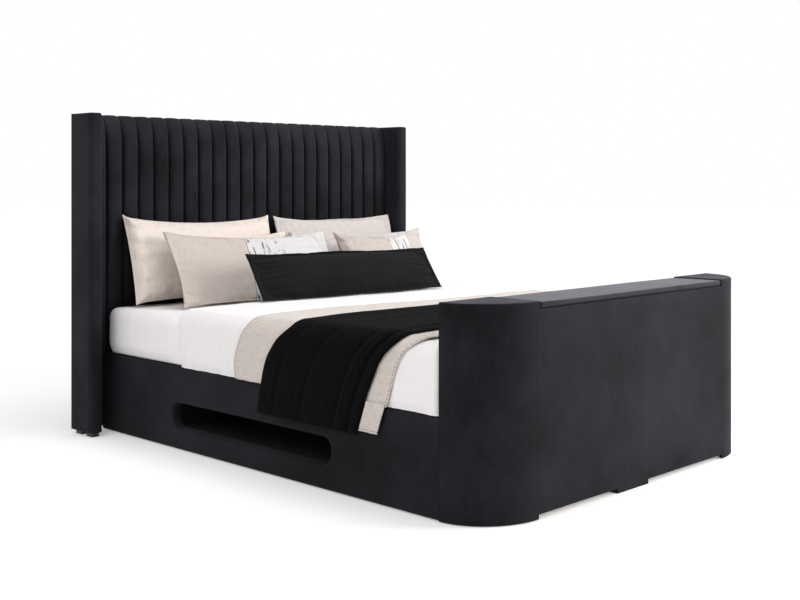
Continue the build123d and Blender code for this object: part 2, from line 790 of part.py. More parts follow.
# Mattress: between the rails below, swelling over them above
mattress_half = mattress_width / 2
swell_half = mattress_half + mattress_swell
mattress_top = mattress_bottom + mattress_height
z_flare = rail_height + duvet_hem_gap
z_flare_end = z_flare + mattress_end_gap
y_mattress_foot = y_foot_inner + mattress_end_gap
y_mattress_head = y_panel - mattress_end_gap
edge_turn = mattress_edge_radius * (1 - cos(radians(45)))
z_edge = mattress_top - mattress_crown
cross_section = make_face([
    Line((-mattress_half, mattress_bottom), (mattress_half, mattress_bottom)),
    Line((mattress_half, mattress_bottom), (mattress_half, z_flare)),
    Line((mattress_half, z_flare), (swell_half, z_flare_end)),
    Line((swell_half, z_flare_end), (swell_half, z_edge - mattress_edge_radius)),
    ThreePointArc(
        (swell_half, z_edge - mattress_edge_radius),
        (swell_half - edge_turn, z_edge - edge_turn),
        (swell_half - mattress_edge_radius, z_edge),
    ),
    ThreePointArc(
        (swell_half - mattress_edge_radius, z_edge),
        (0, mattress_top),
        (-swell_half + mattress_edge_radius, z_edge),
    ),
    ThreePointArc(
        (-swell_half + mattress_edge_radius, z_edge),
        (-swell_half + edge_turn, z_edge - edge_turn),
        (-swell_half, z_edge - mattress_edge_radius),
    ),
    Line((-swell_half, z_edge - mattress_edge_radius), (-swell_half, z_flare_end)),
    Line((-swell_half, z_flare_end), (-mattress_half, z_flare)),
    Line((-mattress_half, z_flare), (-mattress_half, mattress_bottom)),
])
mattress_plane = Plane(origin=(0, y_mattress_head, 0), x_dir=(1, 0, 0), z_dir=(0, -1, 0))
mattress = extrude(mattress_plane * cross_section, mattress_length)
mattress_plan = Pos(0, (y_mattress_foot + y_mattress_head) / 2, mattress_bottom) * RectangleRounded(
    2 * swell_half, mattress_length, mattress_corner_radius
)
mattress = mattress & extrude(mattress_plan, mattress_height)
end_edge = block(
    -overrun, overrun, y_mattress_foot, y_mattress_head, mattress_bottom, mattress_top,
)
end_edges = end_edge.edges().filter_by(Axis.X).group_by(Axis.Z)[-1]
mattress = mattress & fillet(end_edges, mattress_edge_radius)
save("mattress", solids_of(mattress))


def arch(half_width, top, radius, bottom):
    """The region under a flat cover that turns down both sides of the bed."""
    turn = radius * (1 - cos(radians(45)))
    return make_face([
        Line((-half_width, bottom), (half_width, bottom)),
        Line((half_width, bottom), (half_width, top - radius)),
        ThreePointArc(
            (half_width, top - radius), (half_width - turn, top - turn), (half_width - radius, top),
        ),
        Line((half_width - radius, top), (-half_width + radius, top)),
        ThreePointArc(
            (-half_width + radius, top), (-half_width + turn, top - turn), (-half_width, top - radius),
        ),
        Line((-half_width, top - radius), (-half_width, bottom)),
    ])


def cover(half_width, top, radius, thickness, side, bottom, y0, y1):
    """A cover from y0 to y1 over an arch, so thick on top and so thick at the sides."""
    outside = arch(half_width + side, top + thickness, radius + side, bottom)
    inside = arch(half_width, top, radius, bottom - overrun)
    plane = Plane(origin=(0, y1, 0), x_dir=(1, 0, 0), z_dir=(0, -1, 0))
    return extrude(plane * (outside - inside), y1 - y0)


# Duvet
y_duvet_foot = y_foot_inner + duvet_foot_gap
lining_half = swell_half + duvet_lining_gap
lining_top = mattress_top + duvet_lining_gap
z_hem = rail_height + duvet_hem_gap
duvet = cover(
    lining_half, lining_top, duvet_shoulder_radius - duvet_side, duvet_top, duvet_side,
    z_hem, y_duvet_foot, y_panel - duvet_head_gap,
)
save("duvet", solids_of(duvet))

# Bedspread: fans towards the headboard where it hangs at the left
spread_half = lining_half + duvet_side + layer_gap
spread_under = lining_top + duvet_top + layer_gap
spread_radius = duvet_shoulder_radius + layer_gap
y_spread_foot = y_foot_inner + spread_foot_gap
y_spread_head = y_spread_foot + spread_length
z_spread_hem = rail_height + spread_hem_gap
z_strip_hem = z_spread_hem - spread_strip_drop
z_spread_top = spread_under + spread_thickness
spread = cover(
    spread_half, spread_under, spread_radius, spread_thickness, spread_thickness,
    z_strip_hem, y_spread_foot, y_spread_head + spread_fan,
)
x_spread_turn = spread_half - spread_radius
spread = spread - block(
    -x_spread_turn, overrun, y_spread_head, y_spread_head + 2 * spread_fan, 0, 2 * z_spread_top,
)
spread = spread - block(0, overrun, -overrun, overrun, 0, z_spread_hem)


def side_cutter(points):
    """A prism across the left side of the bed, from an outline in the YZ plane."""
    plane = Plane.YZ.offset(-x_spread_turn)
    return extrude(plane * make_face(Polyline(*points, close=True)), -overrun)


head_points = [
    (y_spread_head + share_y * spread_fan, z_spread_hem + share_z * (z_spread_top - z_spread_hem))
    for share_y, share_z in spread_head_edge_shares
]
y_far_head = y_spread_head + 2 * spread_fan
head_points.append((head_points[-1][0], 0))
head_points.extend([(y_far_head, 0), (y_far_head, 2 * z_spread_top), (y_spread_head, 2 * z_spread_top)])
foot_points = [
    (y_spread_foot + share_y * spread_foot_fan, z_strip_hem + share_z * (z_spread_top - z_strip_hem))
    for share_y, share_z in spread_foot_edge_shares
]
y_strip = foot_points[-1][0]
y_far_foot = y_spread_foot - spread_fan
foot_points.extend([(y_strip, 0), (y_far_foot, 0), (y_far_foot, 2 * z_spread_top)])
foot_points.append((y_spread_foot, 2 * z_spread_top))
spread = spread - side_cutter(head_points) - side_cutter(foot_points)
y_strip_head = y_strip + spread_strip_width
spread = spread - block(-overrun, 0, y_strip_head, y_far_head, 0, z_spread_hem)
save("bedspread", solids_of(spread))

# Throw: lengthwise folds over the bed, down the left side and fanning out as it hangs
throw_half = spread_half + spread_thickness + layer_gap
throw_under = spread_under + spread_thickness + layer_gap
throw_radius = spread_radius + spread_thickness + layer_gap
y_throw_foot = y_foot_inner + throw_foot_gap
y_throw_head = y_throw_foot + throw_width
z_throw_turn = throw_under - throw_radius
z_throw_hem = z_throw_turn - throw_drop


def fold_edges(y0, y1, place):
    """The outline of the folded throw, with place giving the point at (y, height)."""
    edges = []
    y_now = y0
    for share, height_share in throw_fold_shares:
        y_next = y_now + share * (y1 - y0)
        crest = throw_thickness + height_share * throw_fold_height
        edges.append(ThreePointArc(
            place(y_now, throw_thickness), place((y_now + y_next) / 2, crest), place(y_next, throw_thickness),
        ))
        y_now = y_next
    edges.append(Line(place(y_now, throw_thickness), place(y_now, 0)))
    edges.append(Line(place(y_now, 0), place(y0, 0)))
    edges.append(Line(place(y0, 0), place(y0, throw_thickness)))
    return edges


top_section = make_face(fold_edges(
    y_throw_foot, y_throw_head, lambda y, h: (throw_right_end, y, throw_under + h)
))
x_throw_turn = throw_half - throw_radius
throw_path = Wire([
    Line((throw_right_end, y_throw_foot, throw_under), (-x_throw_turn, y_throw_foot, throw_under)),
    TangentArc(
        (-x_throw_turn, y_throw_foot, throw_under),
        (-throw_half, y_throw_foot, z_throw_turn),
        tangent=(-1, 0, 0),
    ),
])
throw_top = sweep(top_section, path=throw_path)
turn_section = make_face(fold_edges(
    y_throw_foot, y_throw_head, lambda y, h: (-throw_half - h, y, z_throw_turn)
))
z_throw_bend = z_throw_turn - throw_bend_drop
bend_section = make_face(fold_edges(
    y_throw_foot + throw_bend_fan, y_throw_head + throw_bend_fan, lambda y, h: (-throw_half - h, y, z_throw_bend)
))
hem_section = make_face(fold_edges(
    y_throw_foot + throw_fan_near, y_throw_head + throw_fan_far, lambda y, h: (-throw_half - h, y, z_throw_hem)
))
throw_side = loft([turn_section, bend_section, hem_section], ruled=True)
save("throw", solids_of(throw_top + throw_side))


def pillow(size, plan, seat, lean, turn):
    """A crowned pillow with eared corners, leaning back on its lower edge over a seat."""
    width, height, thickness = size
    lean_angle = radians(lean)
    upright = (0, sin(lean_angle), cos(lean_angle))
    facing = (0, -cos(lean_angle), sin(lean_angle))

    def point(x, up, out):
        return (x, upright[1] * up + facing[1] * out, upright[2] * up + facing[2] * out)

    sections = []
    half_seam = pillow_seam / 2
    for place_share, thickness_share, top_share, bottom_share in pillow_crown_shares:
        x = place_share * width
        low = bottom_share * height
        high = top_share * height
        bulge = thickness_share * thickness / 2 + half_seam
        middle = (low + high) / 2
        sections.append(make_face([
            ThreePointArc(point(x, low, half_seam), point(x, middle, bulge), point(x, high, half_seam)),
            Line(point(x, high, half_seam), point(x, high, -half_seam)),
            ThreePointArc(point(x, high, -half_seam), point(x, middle, -bulge), point(x, low, -half_seam)),
            Line(point(x, low, -half_seam), point(x, low, half_seam)),
        ]))
    z_place = seat + pillow_seat_gap + half_seam * sin(lean_angle)
    return Pos(plan[0], y_panel - plan[1], z_place) * Rot(0, 0, turn) * loft(sections)


z_duvet = lining_top + duvet_top
save("pillow_back_left", [pillow(
    pillow_back_left_size, pillow_back_left_plan, mattress_top, pillow_back_lean, 0,
)])
save("pillow_back_right", [pillow(
    pillow_back_right_size, pillow_back_right_plan, mattress_top, pillow_back_lean, 0,
)])
save("pillow_mid_left", [pillow(
    pillow_mid_left_size, pillow_mid_left_plan, mattress_top, pillow_mid_left_lean, 0,
)])
save("pillow_mid_right", [pillow(
    pillow_mid_right_size, pillow_mid_right_plan, mattress_top, pillow_mid_right_lean, pillow_mid_right_turn,
)])
save("cushion_left", [pillow(
    cushion_left_size, cushion_left_plan, mattress_top, cushion_left_lean, cushion_left_turn,
)])
save("cushion_right", [pillow(
    cushion_right_size, cushion_right_plan, mattress_top, cushion_right_lean, 0,
)])
save("bolster", [pillow(bolster_size, bolster_plan, z_duvet, bolster_lean, bolster_turn)])
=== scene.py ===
"""Upholstery, bedding and studio for a wing-back bed whose footboard hides a television lift."""

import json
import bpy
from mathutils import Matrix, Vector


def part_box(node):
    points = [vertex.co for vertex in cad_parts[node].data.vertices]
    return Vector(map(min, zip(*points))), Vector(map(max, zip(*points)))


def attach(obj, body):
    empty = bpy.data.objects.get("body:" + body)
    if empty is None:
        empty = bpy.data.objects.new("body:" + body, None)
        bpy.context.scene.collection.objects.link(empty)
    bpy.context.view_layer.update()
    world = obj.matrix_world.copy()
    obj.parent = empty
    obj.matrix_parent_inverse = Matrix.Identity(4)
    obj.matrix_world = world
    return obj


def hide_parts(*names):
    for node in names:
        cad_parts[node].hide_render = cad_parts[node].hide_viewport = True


bl_info = {
    "name": "Television Bed",
    "version": (1, 0, 0),
    "blender": (4, 5, 0),
    "location": "3D View > Sidebar > Bed",
    "description": "Upholsters and dresses a wing-back bed with a television lift in its footboard",
    "category": "Object",
}

from math import cos, floor, pi, radians, sin, sqrt

import bmesh
import bpy
from bpy.props import FloatProperty, FloatVectorProperty, IntProperty, PointerProperty
from mathutils import Matrix, Vector, noise

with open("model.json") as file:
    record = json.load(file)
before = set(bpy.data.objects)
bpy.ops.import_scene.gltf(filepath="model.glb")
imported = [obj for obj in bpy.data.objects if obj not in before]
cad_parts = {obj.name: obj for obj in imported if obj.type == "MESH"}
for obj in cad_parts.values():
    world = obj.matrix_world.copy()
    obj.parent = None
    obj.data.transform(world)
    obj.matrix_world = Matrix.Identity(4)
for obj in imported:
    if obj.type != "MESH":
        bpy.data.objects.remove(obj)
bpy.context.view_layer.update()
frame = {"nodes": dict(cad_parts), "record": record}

BED = "bed"
LID = "lid"
QUARTER_TURN = pi / 2


def corners(node):
    """The lowest and highest corner of a node of the frame."""
    low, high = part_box(node)
    return Vector(low), Vector(high)


def mix(a, b, share):
    """The value at a share of the way from a to b."""
    return a + (b - a) * share


def ease(share):
    """A share that starts and stops softly."""
    share = min(max(share, 0), 1)
    return share * share * (3 - 2 * share)


def steps_to(count, first=0):
    """Shares from first / count up to 1 in equal steps."""
    return [number / count for number in range(first, count + 1)]


def along(table, place):
    """A value read from a table of (place, value) on a smooth curve through its points."""
    last = len(table) - 1
    place = min(max(place, table[0][0]), table[last][0])
    index = next(number for number in range(1, last + 1) if place <= table[number][0])
    (x0, y0), (x1, y1) = table[index - 1], table[index]

    def slope(number):
        low, high = table[max(number - 1, 0)], table[min(number + 1, last)]
        return (high[1] - low[1]) / (high[0] - low[0])

    reach = x1 - x0
    part = (place - x0) / reach
    return (
        y0 * (1 + 2 * part) * (1 - part) ** 2 + slope(index - 1) * reach * part * (1 - part) ** 2
        + y1 * part ** 2 * (3 - 2 * part) - slope(index) * reach * part ** 2 * (1 - part)
    )


def wave(x, y, z):
    """Smooth noise from -1 to 1."""
    return noise.noise(Vector((x, y, z)))


def toned(color, factor):
    """A colour made lighter or darker."""
    return tuple(channel * factor for channel in color)


# Settings

def length_setting(name, description, default):
    """A length that can be set."""
    return FloatProperty(name=name, description=description, unit="LENGTH", default=default)


def color_setting(name, description, default):
    """A colour that can be set."""
    return FloatVectorProperty(name=name, description=description, subtype="COLOR", default=default)


def power_setting(name, description, default):
    """The power of a lamp that can be set."""
    return FloatProperty(name=name, description=description, unit="POWER", default=default)


class BedStudioSettings(bpy.types.PropertyGroup):
    """Camera and lamps."""

    camera_place: FloatVectorProperty(
        name="Camera place", description="Where the camera stands", unit="LENGTH",
        default=(-3.6568, -3.5205, 1.1144),
    )
    camera_turn: FloatProperty(
        name="Camera turn", description="Turn of the view from straight ahead towards the right",
        subtype="ANGLE", default=radians(45.469),
    )
    lens: FloatProperty(
        name="Lens", description="Focal length on a 36 mm sensor", subtype="DISTANCE_CAMERA",
        default=52.72,
    )
    rise: FloatProperty(
        name="Rise", description="Upward shift of the picture, as a share of its width", default=-0.1490,
    )
    key_power: power_setting("Key light", "Power of the front lamp", 262)
    fill_power: power_setting("Fill light", "Power of the side lamp", 64)
    top_power: power_setting("Top light", "Power of the lamp overhead", 60)
    room_light: FloatProperty(
        name="Room light", description="Strength of the light all round", default=0.62,
    )


class BedUpholsterySettings(bpy.types.PropertyGroup):
    """Headboard, rails and footboard."""

    velvet: color_setting("Velvet", "Colour of the velvet", (0.0034, 0.0033, 0.0046))
    velvet_light: color_setting(
        "Brushed velvet", "Colour where the pile is brushed flat", (0.0182, 0.0172, 0.0226),
    )
    channels: IntProperty(name="Channels", description="Channels of the headboard", default=22, min=4)
    seam_height: length_setting("Seam height", "Padding left under a channel seam", 0.005)
    channel_roll: length_setting(
        "Channel roll", "Height over which the channels roll back at the top", 0.170,
    )
    wing_round: length_setting("Wing round", "Radius of the front corners of the wings", 0.024)
    slot_round: length_setting("Slot round", "Corner radius of the media slot", 0.046)
    slot_lip: length_setting("Slot lip", "Soft edge around the media slot", 0.014)
    end_length: length_setting("Rounded ends", "Length of the footboard's rounded ends", 0.250)
    foam: length_setting("Footboard foam", "Padding of the footboard's face", 0.010)


class BedBeddingSettings(bpy.types.PropertyGroup):
    """Mattress, duvet, bedspread, throw and pillows."""

    cotton: color_setting("Cotton", "Colour of the duvet and sheet", (0.87, 0.84, 0.84))
    linen: color_setting("Linen", "Colour of the bedspread", (0.70, 0.62, 0.565))
    beige: color_setting("Beige linen", "Colour of the left pillows", (0.78, 0.685, 0.625))
    cream: color_setting("Cream linen", "Colour of the right pillows", (0.60, 0.55, 0.525))
    white_linen: color_setting(
        "White linen", "Pale ground of the printed cushions", (0.63, 0.615, 0.61),
    )
    wool: color_setting(
        "Wool", "Colour of the throw, and of the bolster's shade", (0.0010, 0.0010, 0.0011),
    )
    hem_roll: length_setting("Duvet edge", "Roundness of the duvet's edge", 0.012)
    sheet_bulge: length_setting(
        "Sheet bulge", "How far the sheet swells past the duvet's head end", 0.017,
    )
    crumple: length_setting("Crumple", "Height of the duvet's soft creases", 0.0075)


class BedSettings(bpy.types.PropertyGroup):
    """Everything that can be set on the bed."""

    studio: PointerProperty(type=BedStudioSettings)
    upholstery: PointerProperty(type=BedUpholsterySettings)
    bedding: PointerProperty(type=BedBeddingSettings)


# Shader nodes

def feed(tree, entry, value):
    """Links an output to an input, or sets the input to a number or colour."""
    if isinstance(value, bpy.types.NodeSocket):
        tree.links.new(value, entry)
    else:
        entry.default_value = value


def add_node(tree, kind, **values):
    """A node with its properties set, and its sockets set or linked."""
    node = tree.nodes.new("ShaderNode" + kind)
    for key, value in values.items():
        if hasattr(node, key):
            setattr(node, key, value)
        else:
            feed(tree, node.inputs[key.replace("_", " ")], value)
    return node


def add_in_order(tree, kind, *values, **properties):
    """The output of a node whose sockets are fed in order."""
    node = add_node(tree, kind, **properties)
    for entry, value in zip(node.inputs, values):
        feed(tree, entry, value)
    return node.outputs[0]


def math_node(tree, operation, *values):
    """The output of a math node fed by outputs or numbers."""
    return add_in_order(tree, "Math", *values, operation=operation)


def noise_field(tree, place, scale, **values):
    """The output of a noise texture."""
    return add_node(tree, "TexNoise", Vector=place, Scale=scale, **values).outputs[0]


def stretched(tree, place, scale):
    """A place stretched by a scale along each axis."""
    return add_node(tree, "Mapping", Vector=place, Scale=scale).outputs[0]


def ranged(tree, value, low, high, **values):
    """A value spread from the range between low and high to the range from 0 to 1."""
    return add_node(tree, "MapRange", Value=value, From_Min=low, From_Max=high, **values).outputs[0]


def object_place(tree):
    """The place on the object."""
    return add_node(tree, "TexCoord").outputs["Object"]


def cloth_cut(tree):
    """The place on the cut of cloth, and its two parts."""
    cut = add_node(tree, "UVMap", uv_map="cut").outputs[0]
    return cut, add_node(tree, "SeparateXYZ", Vector=cut).outputs


def shown_rays(tree):
    """Marks the rays that show the white studio: camera, glossy and transmission rays."""
    rays = add_node(tree, "LightPath").outputs
    clear = math_node(tree, "MAXIMUM", rays["Is Camera Ray"], rays["Is Transmission Ray"])
    return math_node(tree, "MAXIMUM", clear, rays["Is Glossy Ray"])


# Shared node groups

def start_group(name, **inputs):
    """An empty node group, and its number inputs."""
    group = bpy.data.node_groups.new(name, "ShaderNodeTree")
    for label, value in inputs.items():
        label = label.replace("_", " ")
        socket = group.interface.new_socket(label, in_out="INPUT", socket_type="NodeSocketFloat")
        socket.default_value = value
    return group, group.nodes.new("NodeGroupInput").outputs


def end_group(group, **outputs):
    """Gives a node group its outputs."""
    for label in outputs:
        group.interface.new_socket(label, in_out="OUTPUT", socket_type="NodeSocketFloat")
    end = group.nodes.new("NodeGroupOutput")
    for label, value in outputs.items():
        feed(group, end.inputs[label], value)
    return group


def build_pile():
    """Velvet pile: brushed patches, upright strokes and the fine tips of the pile."""
    patch_part, stroke_part = 0.84, 0.16
    group, given = start_group("Velvet pile", Patches=2.2, Strokes=130.0)
    place = object_place(group)
    patches = noise_field(group, place, given["Patches"], Detail=5.0, Roughness=0.62)
    upright = stretched(group, place, (1.0, 1.0, 0.14))
    strokes = noise_field(group, upright, given["Strokes"], Detail=2.0, Roughness=0.6)
    strokes = math_node(group, "MULTIPLY", strokes, stroke_part)
    brushed = math_node(group, "MULTIPLY_ADD", patches, patch_part, strokes)
    tips = noise_field(group, place, scale=850.0, Detail=2.0)
    return end_group(group, Brushed=ranged(group, brushed, low=0.34, high=0.66), Tips=tips)


def build_weave():
    """A plain weave on the cloth's own cut, with thick and thin threads."""
    group, given = start_group("Plain weave", Threads=900.0, Slubs=60.0)
    cut, parts = cloth_cut(group)
    bands = []
    for axis in ("X", "Y"):
        turn = math_node(group, "MULTIPLY", parts[axis], given["Threads"])
        turn = math_node(group, "MULTIPLY", turn, 2 * pi)
        bands.append(math_node(group, "SINE", turn))
    thread = math_node(group, "MULTIPLY", *bands)
    slub = noise_field(
        group, stretched(group, cut, (1.0, 0.14, 1.0)), given["Slubs"], Detail=3.0, Roughness=0.6,
    )
    return end_group(group, Thread=ranged(group, thread, low=-1.0, high=1.0), Slub=slub)


def build_grain():
    """Wood grain along Y or X: long streaks and fine pores."""
    group, given = start_group("Wood grain", Along_X=0.05, Along_Y=0.05, Scale=40.0)
    squeeze = add_node(group, "CombineXYZ", X=given["Along X"], Y=given["Along Y"], Z=1.0).outputs[0]
    scaled = add_in_order(group, "VectorMath", object_place(group), squeeze, operation="MULTIPLY")
    streak = noise_field(group, scaled, given["Scale"], Detail=4.0, Roughness=0.6, Distortion=0.6)
    pore = noise_field(group, scaled, scale=420.0, Detail=2.0)
    return end_group(group, Streak=streak, Pore=pore)


def build_speckle():
    """Fine moulding grain and soft dust."""
    group, given = start_group("Speckle", Scale=500.0)
    place = object_place(group)
    grain = noise_field(group, place, given["Scale"], Detail=2.0)
    dust = noise_field(group, place, scale=6.0, Detail=4.0, Roughness=0.65)
    return end_group(group, Grain=grain, Dust=dust)


def build_crumple():
    """Soft creases of washed cloth."""
    group, given = start_group("Crumple", Scale=14.0)
    place = object_place(group)
    crease = noise_field(group, place, given["Scale"], Detail=4.0, Roughness=0.5, Distortion=0.8)
    return end_group(group, Crease=crease)


def build_stitches():
    """Two rows of stitches, one by each long edge of a cut of cloth."""
    stitch_half_width = 0.0016
    stitch_share = 0.55
    group, given = start_group("Stitch rows", Near=0.012, Far=0.5, Pitch=0.014)
    parts = cloth_cut(group)[1]
    rows = []
    for label in ("Near", "Far"):
        away = math_node(group, "ABSOLUTE", math_node(group, "SUBTRACT", parts["Y"], given[label]))
        rows.append(math_node(group, "LESS_THAN", away, stitch_half_width))
    count = math_node(group, "DIVIDE", parts["X"], given["Pitch"])
    dash = math_node(group, "LESS_THAN", math_node(group, "FRACT", count), stitch_share)
    row = math_node(group, "MAXIMUM", *rows)
    return end_group(group, Stitch=math_node(group, "MULTIPLY", row, dash))


def build_print():
    """A pale ground past a slanting seam, with a band of loose upright brush dashes."""
    seam_half_width = 0.0018
    dashes = (((95.0, 11.0, 1.0), 0.52, 0.60), ((22.0, 14.0, 1.0), 0.47, 0.56))
    group, given = start_group("Printed band", Start=0.35, Stop=0.6, Slant=0.13)
    cut, parts = cloth_cut(group)
    slip = math_node(group, "MULTIPLY", parts["Y"], given["Slant"])
    across = math_node(group, "SUBTRACT", parts["X"], slip)
    past = math_node(group, "GREATER_THAN", across, given["Start"])
    before = math_node(group, "LESS_THAN", across, given["Stop"])
    mark = math_node(group, "MULTIPLY", past, before)
    for scale, low, high in dashes:
        strokes = noise_field(group, stretched(group, cut, scale), scale=1.0, Detail=2.0)
        mark = math_node(group, "MULTIPLY", mark, ranged(group, strokes, low, high))
    away = math_node(group, "ABSOLUTE", math_node(group, "SUBTRACT", across, given["Start"]))
    seam = math_node(group, "LESS_THAN", away, seam_half_width)
    return end_group(group, Ground=past, Mark=mark, Seam=seam)


GROUPS = {}


def placed_group(tree, builder, **values):
    """The outputs of a shared node group, placed in a material with its own values."""
    if builder not in GROUPS:
        GROUPS[builder] = builder()
    return add_node(tree, "Group", node_tree=GROUPS[builder], **values).outputs


# Materials

def start_material(name, **values):
    """A material with a Principled shader whose own sockets are set."""
    material = bpy.data.materials.new(name)
    material.use_nodes = True
    tree = material.node_tree
    shader = tree.nodes["Principled BSDF"]
    for key, value in values.items():
        feed(tree, shader.inputs[key.replace("_", " ")], value)
    return material, tree, shader


def two_colors(tree, shader, mask, low, high):
    """Feeds the base colour with a mix of two colours by a mask."""
    blend = add_node(tree, "Mix", data_type="RGBA", Factor=mask, A=(*low, 1), B=(*high, 1))
    feed(tree, shader.inputs["Base Color"], blend.outputs["Result"])


def overlay(tree, shader, mask, color, way="MIX"):
    """Lays a colour over what feeds the base colour, by a mask."""
    below = shader.inputs["Base Color"].links[0].from_socket
    blend = add_node(tree, "Mix", data_type="RGBA", blend_type=way, Factor=mask, A=below, B=(*color, 1))
    feed(tree, shader.inputs["Base Color"], blend.outputs["Result"])


def relief(tree, shader, height, strength, distance):
    """Feeds the normal with a bump."""
    bump = add_node(tree, "Bump", Strength=strength, Distance=distance, Height=height)
    feed(tree, shader.inputs["Normal"], bump.outputs[0])
    return bump


def crumpled(tree, fine, scale, strength, distance):
    """Lays soft creases under a finer bump."""
    crease = placed_group(tree, build_crumple, Scale=scale)["Crease"]
    under = add_node(tree, "Bump", Strength=strength, Distance=distance, Height=crease)
    feed(tree, fine.inputs["Normal"], under.outputs[0])


def painted_share(tree, name):
    """A share painted on the piece's own points."""
    return add_node(tree, "Attribute", attribute_name=name).outputs["Fac"]


def velvet(name, dark, light, patches=2.2, sheen=0.06, seam="", flat=""):
    """Short-pile velvet with brushed patches, with painted shade where the seam mask is set and a
    painted highlight where the flat mask is set.
    """
    material, tree, shader = start_material(
        name, Roughness=0.8, Sheen_Weight=sheen, Sheen_Roughness=0.38, Sheen_Tint=(0.78, 0.78, 0.86, 1),
        Specular_IOR_Level=0.12,
    )
    pile = placed_group(tree, build_pile, Patches=patches)
    two_colors(tree, shader, pile["Brushed"], dark, light)
    if seam:
        # Painted shade: the base colour is darkened where the seam attribute is set.
        overlay(tree, shader, painted_share(tree, seam), (0.16, 0.16, 0.16), "MULTIPLY")
    if flat:
        # Painted highlight: the base colour is lightened where the flat attribute is set.
        overlay(tree, shader, painted_share(tree, flat), toned(light, 2.6))
    relief(tree, shader, pile["Tips"], strength=0.35, distance=0.0006)
    return material


def cotton(name, color):
    """Smooth white cotton with a fine thread."""
    material, tree, shader = start_material(
        name, Roughness=0.82, Sheen_Weight=0.12, Sheen_Roughness=0.5, Specular_IOR_Level=0.2,
    )
    weave = placed_group(tree, build_weave, Threads=1300.0, Slubs=25.0)
    two_colors(tree, shader, weave["Slub"], toned(color, 0.94), color)
    fine = relief(tree, shader, weave["Thread"], strength=0.15, distance=0.0003)
    crumpled(tree, fine, scale=9.0, strength=0.45, distance=0.012)
    return material


def linen(name, color, sheen=0.1, creases=17.0, depth=0.012):
    """Linen with slubs and a visible weave."""
    material, tree, shader = start_material(
        name, Roughness=0.9, Sheen_Weight=sheen, Sheen_Roughness=0.5, Specular_IOR_Level=0.15,
    )
    weave = placed_group(tree, build_weave, Threads=700.0, Slubs=170.0)
    slub = ranged(tree, weave["Slub"], low=0.3, high=0.7)
    two_colors(tree, shader, slub, toned(color, 0.86), color)
    fine = relief(tree, shader, weave["Thread"], strength=0.5, distance=0.0006)
    crumpled(tree, fine, scale=creases, strength=0.6, distance=depth)
    return material


def printed_linen(name, color, ground, width, start_share, stop_share):
    """Linen joined to a paler linen at a seam, with brush dashes printed beside it."""
    material = linen(name, color)
    tree = material.node_tree
    shader = tree.nodes["Principled BSDF"]
    band = placed_group(tree, build_print, Start=start_share * width, Stop=stop_share * width)
    overlay(tree, shader, band["Ground"], ground)
    overlay(tree, shader, band["Mark"], (0.10, 0.09, 0.088))
    overlay(tree, shader, band["Seam"], toned(color, 0.45))
    return material


def wool(name, color):
    """Black wool with a rib along the cloth."""
    material, tree, shader = start_material(
        name, Roughness=0.95, Sheen_Weight=0.012, Sheen_Roughness=0.5, Specular_IOR_Level=0.05,
    )
    weave = placed_group(tree, build_weave, Threads=260.0, Slubs=120.0)
    two_colors(tree, shader, weave["Slub"], color, tuple(channel * 2.6 + 0.0008 for channel in color))
    relief(tree, shader, weave["Thread"], strength=0.8, distance=0.0012)
    return material


def wood(name, dark, light, along_x=1.0, along_y=0.05, scale=40.0, roughness=0.6):
    """Planed wood or board with its grain along one axis."""
    material, tree, shader = start_material(name, Roughness=roughness, Specular_IOR_Level=0.35)
    grain = placed_group(tree, build_grain, Along_X=along_x, Along_Y=along_y, Scale=scale)
    two_colors(tree, shader, grain["Streak"], dark, light)
    relief(tree, shader, grain["Pore"], strength=0.25, distance=0.0005)
    return material


def moulded(name, color, roughness, metallic=0.0, scale=500.0, strength=0.15):
    """Moulded plastic, powder coat or plated steel with a fine grain and soft dust."""
    material, tree, shader = start_material(name, Metallic=metallic)
    speckle = placed_group(tree, build_speckle, Scale=scale)
    two_colors(tree, shader, speckle["Dust"], toned(color, 0.8), color)
    smoothest, roughest = roughness - 0.06, roughness + 0.08
    rough = ranged(tree, speckle["Dust"], 0.0, 1.0, To_Min=smoothest, To_Max=roughest)
    feed(tree, shader.inputs["Roughness"], rough)
    relief(tree, shader, speckle["Grain"], strength, distance=0.0004)
    return material


# Modelling helpers

def laid_grid(columns, rows, place, cut):
    """A grid whose points are laid by place(across, along), each from 0 to 1, on a cut of cloth in m."""
    bm = bmesh.new()
    bmesh.ops.create_grid(bm, x_segments=columns, y_segments=rows, size=0.5)
    uv = bm.loops.layers.uv.new("cut")
    for face in bm.faces:
        for loop in face.loops:
            point = loop.vert.co
            loop[uv].uv = ((point.x + 0.5) * cut[0], (point.y + 0.5) * cut[1])
    for vert in bm.verts:
        vert.co = place(vert.co.x + 0.5, vert.co.y + 0.5)
    return bm


def close_up(bm, distance=0.0001):
    """Merges the seams of a grid, caps its open ends and turns its faces outwards."""
    bmesh.ops.remove_doubles(bm, verts=bm.verts, dist=distance)
    bmesh.ops.dissolve_degenerate(bm, dist=distance / 4, edges=bm.edges)
    bmesh.ops.holes_fill(bm, edges=bm.edges)
    bmesh.ops.recalc_face_normals(bm, faces=bm.faces)
    return bm


def finish_piece(name, bm, material, body=BED, nodes=(), slot=None, sharp=38.0):
    """Makes an object of a bmesh, and says what it rides on and stands for."""
    for face in bm.faces:
        face.smooth = True
    mesh = bpy.data.meshes.new(name)
    bm.to_mesh(mesh)
    bm.free()
    mesh.set_sharp_from_angle(angle=radians(sharp))
    piece = bpy.data.objects.new(name, mesh)
    bpy.context.scene.collection.objects.link(piece)
    mesh.materials.append(material)
    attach(piece, body)
    if nodes:
        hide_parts(*nodes)
    return piece


def upholster(name, bm, cloth, *nodes, sharp=38.0, fill=0.9):
    """Makes a padded piece of velvet that stands for the nodes it covers."""
    finish_piece(name, bm, cloth, nodes=nodes, slot="charcoal_velvet", sharp=sharp)


